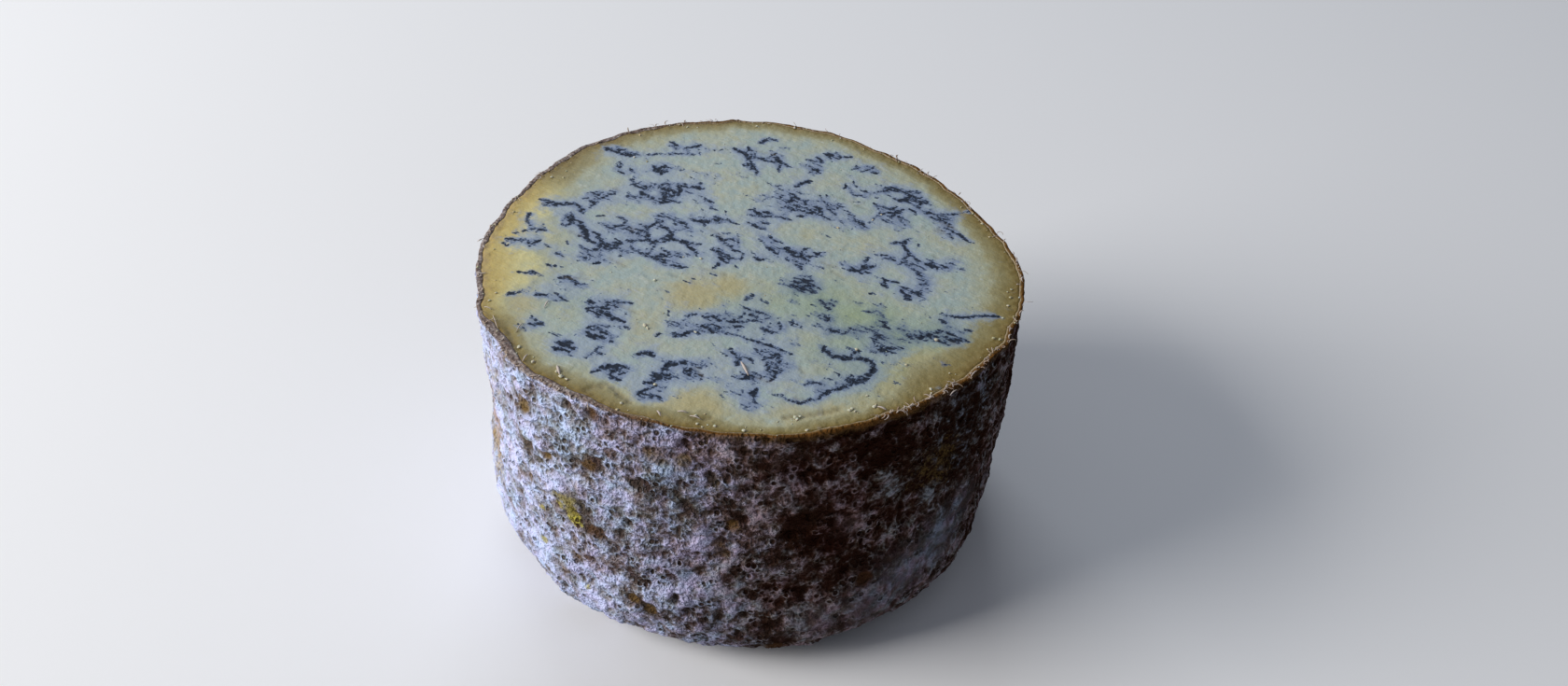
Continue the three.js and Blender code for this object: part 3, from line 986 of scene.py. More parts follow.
def paint_marbling():
    """The veins that show, those that are hidden, and small flecks all over."""
    marbling = Marbling()
    paint_visible(marbling)
    draw = np.random.default_rng(HIDDEN_SEED)
    paint_hidden(marbling, draw)
    for _ in range(FLECKS):
        place = random_place(draw, FLECK_REACH)
        tilt = SMEAR + draw.normal(0, 0.4)
        length, width, darkness = 1 + 4 * draw.random() ** 2, draw.uniform(0.2, 0.6), draw.uniform(0.4, 0.75)
        marbling.branch(place, tilt, length, width, darkness)
    return marbling


# ---------------------------------------------------------------------------------------------
# The paste, which fills the rind.

PASTE_GRID = 300
PASTE_OVERLAP = 0.45
TUCK = 0.6  # how far the paste's border dips under the rind's cut edge

# The paste below its cut face: points in a ring, share of the radius, height.
PASTE_RINGS = [
    (150, 0.35, 8), (150, 0.62, 8), (300, 0.86, 14), (600, 0.955, 36), (600, 0.96, 108), (1200, 1.0, 115.5),
]
PASTE_T_START, PASTE_T_STEP = 0.2, 0.1  # where the rings lie in the texture
VEIN_DEPTH = 0.5
CREASE_DEPTH = 0.5
HALO_SPREAD = 1.3
MIST_SPREAD = 3.6
GUTTER_DEPTH = 0.12
PASTE_MARKS = ("vein", "halo", "mist", "ripe", "gilt", "warm", "green_and_shade", "crease")

# Layers of noise on the cut face: size of one feature, octaves, seed.
CURDS, DRAG, GRAINS, RIM_CURDS = (3.2, 3, 41), (1, 2, 42), (1.4, 2, 43), (2.6, 3, 47)
TORN_AREAS, TORN_GRAINS, VEIN_FLOOR, RIPE_EDGE = (9, 2, 44), (1.5, 2, 45), (2.0, 2, 46), (9, 3, 48)
DRAG_LENGTH, DRAG_WIDTH = 9, 1.6

# How far in mm the paste is ripened inwards from the rind, brown at the rind and then golden, by the angle.
RIPE_WIDTHS = {
    -172: 20, -165: 20, -158: 11, -150: 9, -143: 6.5, -136: 6, -129: 8, -122: 8.5, -115: 7.5, -108: 6.5,
    -101: 8.5, -95: 8.5, -89: 3.8, -83: 4, -77: 5, -71: 5.5, -65: 5, -59: 6.5, -53: 9.5, -46: 15, -39: 15,
    -25: 13, 0: 11, 40: 7, 90: 6, 130: 9, 165: 16,
}

# Warm patches, and green patches that are greener and darker, partly the paste's own colour and partly
# painted shade: pixel, radius in mm, and strength.
WARM_PATCHES = [
    (745, 316, 12, 1.0), (780, 308, 9, 0.9), (556, 322, 10, 0.7), (548, 345, 8, 0.6), (655, 345, 5, 0.3),
    (745, 438, 12, 1.0), (712, 430, 9, 0.7), (680, 424, 6, 0.5), (886, 398, 8, 0.4), (690, 350, 10, 0.45),
    (540, 250, 14, 0.7), (985, 396, 15, 1.0), (1025, 380, 11, 0.9), (950, 415, 9, 0.8),
    (925, 432, 8, 0.7), (895, 443, 9, 0.7), (850, 446, 10, 0.6), (800, 452, 9, 0.5),
]
GREEN_AND_SHADE_PATCHES = [
    (860, 315, 11, 0.7), (885, 325, 13, 0.9), (915, 338, 12, 1.0), (942, 342, 11, 1.0),
    (965, 360, 11, 0.9), (912, 362, 10, 0.7), (890, 375, 11, 0.5), (925, 390, 16, 0.5),
    (965, 395, 12, 0.4), (1000, 358, 11, 0.8), (1048, 365, 9, 0.7), (835, 325, 12, 0.5),
    (800, 335, 12, 0.35), (610, 325, 9, 0.3),
]

# Creases where the paste has torn: width in mm, then pixels.
CREASES = [
    (1.4, (629, 417), (640, 412), (652, 411)), (0.9, (652, 411), (664, 421), (676, 431)),
    (0.9, (842, 448), (870, 445), (900, 440)), (1.6, (566, 383), (570, 389)),
    (0.8, (742, 446), (752, 449), (762, 448)), (0.8, (545, 352), (549, 366), (556, 374)),
]
SCRATCHES = 26
SCRATCH_LENGTHS = (2, 9)
SCRATCH_WIDTH, SCRATCH_DEPTH = 0.5, 0.5


def disc_grid():
    """A square grid bent into a disc: the share of the radius, and the angle, at each point."""
    line = np.linspace(-1, 1, PASTE_GRID + 1)
    a, b = np.meshgrid(line, line, indexing="ij")
    with np.errstate(divide="ignore", invalid="ignore"):
        wide = np.abs(a) > np.abs(b)
        share = np.where(wide, a, b)
        turn = np.where(wide, math.pi / 4 * b / a, math.pi / 2 - math.pi / 4 * a / b)
    turn = np.where(share == 0, 0, turn)
    x, y = share * np.cos(turn), share * np.sin(turn)
    return np.hypot(x, y), np.arctan2(y, x)


def grid_border():
    """Indices of the grid's border points, anticlockwise from the angle of -45 degrees."""
    n = PASTE_GRID
    index = np.arange((n + 1) ** 2).reshape(n + 1, n + 1)
    return np.concatenate([index[n, :-1], index[::-1, n][:-1], index[0, ::-1][:-1], index[:-1, 0]])


def cut_chart(x, y):
    """The place in the texture of a place on the cut face."""
    return 0.5 + CUT_SPAN * x / WHEEL_RADIUS, 0.5 + CUT_SPAN * y / WHEEL_RADIUS


def ripeness(x, y, edge):
    """How ripe the paste is: 1 at the rind, 0 where the cream begins, and down to -1 further in."""
    angle = np.degrees(np.arctan2(y, x))
    width = np.interp(angle, list(RIPE_WIDTHS), list(RIPE_WIDTHS.values()), period=360)
    width = width * (1 + 0.25 * flat_field(x, y, RIPE_EDGE))
    return np.maximum(-1, 1 - edge / width)


def patch_marks(patches, x, y):
    """How strongly places lie in patches of the cut face."""
    strength = 0 * x
    for px, py, size, peak in patches:
        distance = np.hypot(*(np.array([x, y]) - np.array(on_cut(px, py))[:, None]))
        strength = np.maximum(strength, peak * np.exp(-((distance / size) ** 2)))
    return strength


def paste_relief(x, y, edge, marks):
    """Fine relief of the cut face: curds, the wire's drag, creases and the sunken veins."""
    ahead = x * math.cos(SMEAR) + y * math.sin(SMEAR)
    aside = -x * math.sin(SMEAR) + y * math.cos(SMEAR)
    relief = 0.10 * flat_field(x, y, CURDS) + 0.05 * flat_field(ahead / DRAG_LENGTH, aside / DRAG_WIDTH, DRAG)
    relief += 0.05 * flat_field(x, y, GRAINS)
    torn = smooth_step(flat_field(x, y, TORN_AREAS), 0.25, 0.6)
    relief += 0.10 * torn * flat_field(x, y, TORN_GRAINS)
    sunken = smooth_step(marks["vein"], 0.55, 1.0) * (0.6 + 0.6 * flat_field(x, y, VEIN_FLOOR))
    relief -= VEIN_DEPTH * sunken + CREASE_DEPTH * marks["crease"]
    relief -= GUTTER_DEPTH * smooth_step(marks["ripe"], 0.2, 0.8)
    near = 1 - smooth_step(edge, 0, 7)
    relief += near * 0.3 * flat_field(x, y, RIM_CURDS)
    relief -= TUCK * (1 - smooth_step(edge, 0, PASTE_OVERLAP))
    return relief


def paint_creases():
    """The creases that show, and random scratches along the smear."""
    creases = Marbling()
    for width, *pixels in CREASES:
        creases.stroke([on_cut(*pixel) for pixel in pixels], width, 1)
    for _ in range(SCRATCHES):
        start = creases.draw.uniform(-80, 80, 2)
        turn = SMEAR + creases.draw.normal(0, 0.3)
        reach = creases.draw.uniform(*SCRATCH_LENGTHS)
        end = start + reach * np.array([math.cos(turn), math.sin(turn)])
        creases.stroke([start, end], SCRATCH_WIDTH, SCRATCH_DEPTH)
    return creases


def paste_marks(x, y, angle, edge):
    """What is on the cut face at places, which lie at a distance from its edge."""
    marbling, creases = paint_marbling(), paint_creases()
    return {
        "vein": marbling.at(marbling.dark, x, y),
        "halo": marbling.at(marbling.halo(HALO_SPREAD), x, y),
        "mist": marbling.at(marbling.halo(MIST_SPREAD), x, y),
        "ripe": ripeness(x, y, edge),
        "gilt": smooth_step(-np.cos(angle), 0.84, 0.965),
        "warm": patch_marks(WARM_PATCHES, x, y),
        "green_and_shade": patch_marks(GREEN_AND_SHADE_PATCHES, x, y),
        "crease": creases.at(creases.dark, x, y),
    }


def make_paste(material):
    """The paste as a closed body, with its cut face on a fine grid."""
    share, angle = (values.ravel() for values in disc_grid())
    limit = rim_radius(angle) - lip_thickness(angle) + PASTE_OVERLAP
    radius = share * limit
    x, y = radius * np.cos(angle), radius * np.sin(angle)
    edge = limit - radius
    marks = paste_marks(x, y, angle, edge)
    z = cut_level(x, y) + paste_relief(x, y, edge, marks)

    shell = Shell()
    shell.ring(np.stack([x, y, z], 1), **marks)
    n = PASTE_GRID
    index = np.arange((n + 1) ** 2).reshape(n + 1, n + 1)
    u, v = cut_chart(x, y)
    corners = [index[:-1, :-1], index[1:, :-1], index[1:, 1:], index[:-1, 1:]]
    shell.add(*[(corner.ravel(), (u[corner.ravel()], v[corner.ravel()])) for corner in corners])

    # The sides and bottom, from the bottom's centre out and up to the border of the cut face.
    border = grid_border()
    turn = angle[border]
    side = rim_radius(turn) - lip_thickness(turn)
    last, t_last = None, PASTE_T_START
    for i, (count, scale, height) in enumerate(PASTE_RINGS):
        stride = len(border) // count
        ring = shell.ring(level_ring(side[::stride] * scale, turn[::stride], height))
        t = PASTE_T_START + PASTE_T_STEP * i
        if last is None:
            shell.cap(ring, np.array([0, 0, height]), corner_chart, t, True)
        else:
            shell.band(last, ring, corner_chart, t_last, t)
        last, t_last = ring, t
    start, count = last
    here = np.arange(count)
    there = (here + 1) % count
    low = [corner_chart(share, 0, 0.8) for share in (here / count, (here + 1) / count)]
    high = [corner_chart(share, 0, 0.9) for share in (here / count, (here + 1) / count)]
    lower = (start + here, low[0]), (start + there, low[1])
    shell.add(*lower, (border[there], high[1]), (border[here], high[0]))
    return shell.build("paste", material, PASTE_MARKS)


# ---------------------------------------------------------------------------------------------
# Crumbs of paste and flakes of rind that the wire left.

CRUMB_SEED, FLAKE_SEED = 41, 43
CRUMBS = 150
CRUMB_RADII = (0.2, 0.6)
CRUMB_FORM = (1.15, 1.15, 0.65)  # crumbs lie flat
CRUMB_KIND = 0.7  # the pale kind of those that show, where 0 is golden and 1 is grey
FLAKES = 190
FLAKE_POINTS = 6
CLEAN_RIM = -89  # angle in degrees in the middle of the part of the rim without flakes
CLEAN_REACH = 26
# Where there are more: angle and half width in degrees, flakes.
RAGGED_RIMS = [(-144, 18, 22), (-44, 17, 40)]

# Crumbs that show: pixel and radius in mm.
CRUMBS_IN_VIEW = [
    (691, 349, 0.9), (694, 352, 0.7), (918, 374, 0.6), (1003, 364, 0.6), (556, 372, 0.6), (571, 388, 0.6),
    (597, 398, 0.9), (601, 403, 0.7), (607, 406, 0.5), (745, 446, 0.6), (852, 448, 0.7), (854, 450, 0.6),
    (857, 447, 0.6), (910, 441, 0.7), (913, 439, 0.6), (916, 442, 0.5), (929, 425, 0.5), (937, 437, 0.7),
]

# Flakes that show on the cut face: their two ends in pixels, and their width in mm.
FLAKES_IN_VIEW = [
    ((794, 388), (802, 403), 1.3), ((704, 440), (708, 446), 0.9), ((726, 441), (737, 443), 0.8),
    ((739, 446), (751, 450), 0.7), ((597, 392), (600, 402), 1.2), ((566, 380), (560, 388), 0.6),
    ((583, 330), (588, 322), 0.5), ((553, 356), (560, 346), 0.4), ((533, 352), (528, 338), 0.4),
    ((527, 332), (519, 329), 0.5), ((940, 437), (950, 441), 1.0), ((1018, 424), (1025, 418), 0.5),
    ((1040, 404), (1047, 397), 0.5), ((1012, 418), (1016, 411), 0.4),
]


class Scatter:
    """Small closed solids, joined in one mesh."""

    def __init__(self):
        self.points, self.faces, self.marks = [], [], []
        self.size = 0

    def add(self, points, faces, mark):
        self.points.append(points)
        self.faces += [[self.size + i for i in face] for face in faces]
        self.marks.append(np.full(len(points), mark))
        self.size += len(points)

    def build(self, name, material):
        mesh = bpy.data.meshes.new(name)
        mesh.from_pydata((np.concatenate(self.points) * MM).tolist(), [], self.faces)
        attribute = mesh.attributes.new("kind", "FLOAT", "POINT")
        attribute.data.foreach_set("value", np.concatenate(self.marks).astype(np.float32))
        return finish_object(name, mesh, material)


def ball():
    """The points and faces of a round ball with a radius of 1."""
    form = bmesh.new()
    bmesh.ops.create_icosphere(form, subdivisions=2, radius=1)
    points = np.array([vertex.co[:] for vertex in form.verts])
    faces = [[vertex.index for vertex in face.verts] for face in form.faces]
    form.free()
    return points, faces


def rim_place(angle, inwards):
    """A place on the cut face at a distance inwards from the rim."""
    radius = rim_radius(np.array([angle]))[0] - inwards
    return radius * math.cos(angle), radius * math.sin(angle)


def lying_at(x, y, lift):
    """A point at a height over a place on the cut face."""
    return np.array([x, y, cut_level(np.array([x]), np.array([y]))[0] + lift])


def make_crumbs(material):
    """Crumbs on the cut face, most of them near the rim."""
    scatter = Scatter()
    points, faces = ball()
    draw = np.random.default_rng(CRUMB_SEED)
    places = [(*on_cut(px, py), radius, CRUMB_KIND) for px, py, radius in CRUMBS_IN_VIEW]
    for _ in range(CRUMBS):
        angle, radius = draw.uniform(0, TURN), CRUMB_RADII[0] + draw.random() ** 3 * np.ptp(CRUMB_RADII)
        inwards = 0.6 + 7 * draw.random() ** 1.6 if draw.random() < 0.7 else draw.uniform(5, 90)
        places.append((*rim_place(angle, inwards), radius, draw.random()))
    for x, y, radius, kind in places:
        turn = Quaternion(draw.normal(0, 1, 4)).normalized().to_matrix()
        uneven = 1 + 0.6 * field(points, 0.7, 2, draw.integers(50, 90))
        shaped = points * uneven[:, None] * draw.uniform(0.6, 1.15, 3)
        shaped = shaped @ np.array(turn) * CRUMB_FORM
        scatter.add(shaped * radius + lying_at(x, y, 0.25 * radius), faces, kind)
    return scatter.build("crumbs", material)


def add_flake(scatter, path, width, thickness, mark):
    """A thin strip along a path, pointed at its ends."""
    path = np.array(path)
    ahead = np.gradient(path, axis=0)
    ahead /= np.linalg.norm(ahead, axis=1)[:, None]
    side = np.cross(ahead, [0.15, 0.1, 1])
    side /= np.linalg.norm(side, axis=1)[:, None]
    up = np.cross(side, ahead)
    count = len(path)
    share = np.linspace(0, 1, count)
    wide = 0.5 * width * (0.15 + 0.85 * np.sin(math.pi * (0.08 + 0.84 * share)))
    corners = [(1, 0), (0, 1), (-1, 0), (0, -1)]
    rings = [path + side * (a * wide)[:, None] + up * (0.5 * b * thickness) for a, b in corners]
    points = np.stack(rings, 1).reshape(-1, 3)
    faces = [[0, 1, 2, 3], [4 * count - 1 - i for i in range(4)]]
    for i in range(count - 1):
        for j in range(4):
            k = (j + 1) % 4
            faces.append([4 * i + j, 4 * i + 4 + j, 4 * i + 4 + k, 4 * i + k])
    scatter.add(points, faces, mark)


def curled_path(draw, angle):
    """The points of a flake that curls up from the rim at an angle."""
    place = lying_at(*rim_place(angle, draw.uniform(-0.1, 1.6)), 0.1)
    heading = angle + math.pi / 2 + draw.normal(0, 0.9)
    pitch, turn = draw.uniform(0.0, 0.7), draw.normal(0, 0.5)
    step = draw.uniform(0.25, 0.75)
    path = []
    for _ in range(FLAKE_POINTS):
        path.append(place)
        way = [math.cos(heading) * math.cos(pitch), math.sin(heading) * math.cos(pitch), math.sin(pitch)]
        place = place + step * np.array(way)
        heading += turn
        pitch -= draw.uniform(0.05, 0.3)
    return path


def make_flakes(material):
    """Curled flakes along the rim, and the few that lie on the cut face."""
    scatter = Scatter()
    for start, end, width in FLAKES_IN_VIEW:
        share = np.linspace(0, 1, FLAKE_POINTS)[:, None]
        flat = np.array(on_cut(*start)) * (1 - share) + np.array(on_cut(*end)) * share
        level = cut_level(flat[:, 0], flat[:, 1]) + 0.2 + 0.5 * np.sin(math.pi * share[:, 0])
        add_flake(scatter, np.column_stack([flat, level]), width, 0.3, 0.9)
    draw = np.random.default_rng(FLAKE_SEED)
    angles = [draw.uniform(0, TURN) for _ in range(FLAKES)]
    angles = [a for a in angles if abs(turn_from(math.radians(CLEAN_RIM), a)) > math.radians(CLEAN_REACH)]
    for centre, half_width, count in RAGGED_RIMS:
        angles += [math.radians(centre + half_width * draw.uniform(-1, 1)) for _ in range(count)]
    for angle in angles:
        path = curled_path(draw, angle)
        add_flake(scatter, path, draw.uniform(0.25, 0.7), draw.uniform(0.1, 0.2), draw.random())
    return scatter.build("flakes", material)


# ---------------------------------------------------------------------------------------------
# Materials.

MIX_SHARE, MIX_FIRST, MIX_SECOND, MIX_COLOUR = 0, 6, 7, 2  # the mix node's sockets for colours


class Look:
    """A material, with short ways to make its nodes. Textures lie in millimetres of the object."""

    def __init__(self, name):
        self.material = bpy.data.materials.new(name)
        self.material.use_nodes = True
        self.tree = self.material.node_tree
        place = self.node("TexCoord", {}).outputs["Object"]
        scaled = self.node("VectorMath", {0: place, "Scale": 1 / MM}, operation="SCALE")
        self.place = scaled.outputs[0]

    def node(self, kind, inputs, **settings):
        """A new node with its settings, and with its inputs by name or number."""
        made = self.tree.nodes.new("ShaderNode" + kind)
        for name, value in settings.items():
            setattr(made, name, value)
        for key, value in inputs.items():
            self.put(made.inputs[key], value)
        return made

    def put(self, socket, value):
        """Gives a socket a value, or links it to another node's."""
        if isinstance(value, bpy.types.NodeSocket):
            self.tree.links.new(value, socket)
        elif socket.type == "RGBA":
            socket.default_value = (*value, 1)
        else:
            socket.default_value = value

    def surface(self, inputs):
        """Gives the shader its inputs by name, and returns the material."""
        for name, value in inputs.items():
            self.put(self.tree.nodes["Principled BSDF"].inputs[name], value)
        return self.material

    def mark(self, name):
        """A number that the mesh holds at each point."""
        return self.node("Attribute", {}, attribute_name=name).outputs["Fac"]

    def total(self, base, *terms):
        """The base, plus each of the terms times its weight."""
        for value, weight in terms:
            inputs = {0: value, 1: weight, 2: base}
            base = self.node("Math", inputs, operation="MULTIPLY_ADD").outputs[0]
        return base

    def times(self, a, b):
        return self.total(0.0, (a, b))

    def noise(self, size, detail=2, roughness=0.5, stretch=None, turn=0.0):
        """Noise from about -1 to 1, with features of a size in millimetres."""
        place = self.place
        if stretch:
            inputs = {"Vector": place, "Rotation": (0, 0, turn), "Scale": stretch}
            place = self.node("Mapping", inputs, vector_type="TEXTURE").outputs[0]
        inputs = {"Vector": place, "Scale": 1 / size, "Detail": detail, "Roughness": roughness}
        return self.total(-1.0, (self.node("TexNoise", inputs).outputs["Fac"], 2.0))

    def ridges(self, size, detail):
        """Noise that is 1 along thin crests and lower between them."""
        made = self.node("Math", {0: self.noise(size, detail)}, operation="ABSOLUTE")
        return self.total(1.0, (made.outputs[0], -2.5))

    def cells(self, size):
        """The distance from the nearest of many points that lie about a size apart."""
        inputs = {"Vector": self.place, "Scale": 1 / size}
        return self.node("TexVoronoi", inputs).outputs["Distance"]

    def step(self, value, low, high):
        """Rises smoothly from 0 to 1 between low and high."""
        inputs = {"Value": value, "From Min": low, "From Max": high}
        return self.node("MapRange", inputs, interpolation_type="SMOOTHSTEP").outputs[0]

    def mix(self, share, first, second, blend_type="MIX"):
        """The first colour where share is 0, and the second where it is 1."""
        inputs = {MIX_SHARE: share, MIX_FIRST: first, MIX_SECOND: second}
        made = self.node("Mix", inputs, data_type="RGBA", blend_type=blend_type)
        return made.outputs[MIX_COLOUR]

    def lay(self, over, colour, value, low, high, most):
        """Lays a colour over another: none of it where value is low, and the most where it is high."""
        return self.mix(self.times(self.step(value, low, high), most), over, colour)

    def ramp(self, value, *stops):
        """A colour picked by value from stops: place and colour."""
        made = self.node("ValToRGB", {0: value})
        elements = made.color_ramp.elements
        while len(elements) < len(stops):
            elements.new(1)
        for element, (place, colour) in zip(elements, stops):
            element.position = place
            element.color = (*colour, 1)
        return made.outputs[0]

    def bump(self, height, depth):
        """A normal for a relief of height times depth, in millimetres."""
        return self.node("Bump", {"Distance": depth * MM, "Height": height}).outputs[0]


def rind_look():
    """Dark crust under a lavender bloom of mould, with ochre and rust spots, and painted light on the side
    towards the key light and painted shade on the far side.
    """
    look = Look("rind")
    tone, smooth = look.mark("tone"), look.mark("smooth")
    fine, mid = look.noise(1.2, 1, 0.6), look.noise(3.0, 2, 0.5)
    pores = look.cells(3.2)
    crowded = look.step(look.noise(10, 2), -0.2, 0.3)
    pocks = look.times(look.step(pores, 0.36, 0.14), crowded)
    rims = look.times(look.times(look.step(pores, 0.22, 0.38), look.step(pores, 0.6, 0.42)), crowded)
    relief = look.total(-0.2, (fine, 0.38), (mid, 0.7), (look.ridges(3.4, 2), 0.4))
    relief = look.total(relief, (pocks, -0.65), (rims, 0.3))
    relief = look.times(relief, look.total(1.0, (smooth, -0.75)))
    midway = look.times(tone, look.total(1.0, (tone, -1.0)))
    relief = look.times(relief, look.total(1.15, (tone, -0.3), (midway, 1.8)))
    cover = look.total(look.mark("bloom"), (relief, 0.6), (fine, 0.15), (look.noise(8, 3), 0.45))
    cover = look.total(cover, (look.mark("pit"), -0.5), (smooth, 0.1))

    # Lit and shaded copies of the same colours: painted light towards the key light, and painted shade away
    # from it.
    lit_colour = look.ramp(
        cover,
        (0.08, (0.105, 0.092, 0.097)),
        (0.28, (0.195, 0.182, 0.200)),
        (0.44, (0.265, 0.257, 0.300)),
        (0.56, (0.35, 0.36, 0.44)),
        (0.71, (0.46, 0.49, 0.62)),
        (0.93, (0.64, 0.69, 0.90)),
    )
    shaded_colour = look.ramp(
        cover,
        (0.0, (0.008, 0.002, 0.001)),
        (0.19, (0.017, 0.007, 0.005)),
        (0.34, (0.031, 0.016, 0.014)),
        (0.46, (0.054, 0.035, 0.036)),
        (0.61, (0.104, 0.082, 0.093)),
        (0.82, (0.24, 0.220, 0.270)),
    )
    colour = look.mix(tone, shaded_colour, lit_colour)
    # The smooth, thick bloom also has a lit colour and a painted-shade colour.
    thick = look.mix(tone, (0.14, 0.135, 0.17), (0.46, 0.50, 0.63))
    colour = look.mix(look.times(smooth, 0.7), colour, thick)

    # The bloom turns from mauve to grey-green, and from olive to lavender.
    greener = look.step(look.total(look.mark("cool"), (look.noise(5, 3), 1.3)), -0.8, 0.8)
    cast = look.mix(greener, (1.17, 0.94, 0.98), (0.86, 1.07, 1.03))
    colour = look.mix(look.total(1.0, (tone, -0.45)), colour, cast, "MULTIPLY")
    bluer = look.step(look.total(cover, (look.noise(4, 2), 1.1)), -0.4, 1.1)
    colour = look.mix(1.0, colour, look.mix(bluer, (1.06, 1.00, 0.84), (0.97, 0.99, 1.10)), "MULTIPLY")
    # Painted shade: a warm tint on the shaded side against the blue of the fill light, less where the bloom
    # is grey-green or smooth.
    out_of_shade = look.total(tone, (look.mark("cool"), 0.35), (smooth, 0.3))
    shaded = look.mix(look.step(out_of_shade, 0.0, 0.3), (1.05, 0.97, 0.80), (1, 1, 1))
    colour = look.mix(1.0, colour, shaded, "MULTIPLY")

    # Stains of rust and olive in the hollows, and the larger spots.
    hue = look.ramp(
        look.total(0.5, (look.noise(8, 3), 1.0)),
        (0.35, (0.085, 0.034, 0.024)),
        (0.6, (0.095, 0.064, 0.044)),
        (0.8, (0.150, 0.125, 0.055)),
    )
    # Painted shade: the stains are darker on the shaded side.
    hue = look.mix(tone, (0.034, 0.011, 0.006), hue)
    bare = look.total(cover, (look.noise(4.6, 3), -0.5))
    colour = look.lay(colour, hue, bare, 0.45, 0.05, 0.35)
    spot = look.total(look.mark("spot"), (fine, 0.6), (mid, 0.5), (cover, -0.3))
    stain = look.ramp(
        look.mark("yellow"),
        (0.05, (0.085, 0.034, 0.015)),
        (0.45, (0.21, 0.135, 0.040)),
        (0.62, (0.25, 0.20, 0.045)),
        (0.8, (0.60, 0.52, 0.050)),
        (1.0, (0.43, 0.28, 0.17)),
    )
    # Painted shade: the spots are darker on the shaded side.
    stain = look.mix(tone, look.mix(0.4, stain, (0.020, 0.008, 0.003)), stain)
    stain = look.mix(look.step(relief, 0.1, -0.45), stain, (0.045, 0.022, 0.010))
    colour = look.lay(colour, stain, spot, 0.15, 0.7, 0.75)

    # The rind's cut edge: mauve and pale on the left, and rust with a pale inner line elsewhere. The
    # painted-light mark picks the side, so the pale left is partly its own colour and partly painted light.
    grain = look.noise(1.4, 2)
    pale_edge = look.ramp(
        look.total(0.5, (grain, 0.8)),
        (0.15, (0.15, 0.105, 0.090)),
        (0.5, (0.275, 0.215, 0.195)),
        (0.85, (0.52, 0.46, 0.43)),
    )
    brown_edge = look.ramp(
        look.total(look.mark("lip"), (grain, 0.12)),
        (0.36, (0.17, 0.075, 0.018)),
        (0.60, (0.13, 0.058, 0.014)),
        (0.82, (0.20, 0.120, 0.045)),
        (0.97, (0.38, 0.31, 0.21)),
    )
    edge = look.mix(tone, brown_edge, pale_edge)
    colour = look.mix(look.step(look.mark("lip"), 0.1, 0.6), colour, edge)
    height = look.times(relief, look.total(1.0, (look.mark("lip"), -0.9)))
    return look.surface({
        "Base Color": colour,
        "Roughness": 0.95,
        "Specular IOR Level": 0.02,
        "Normal": look.bump(height, 1.6),
    })


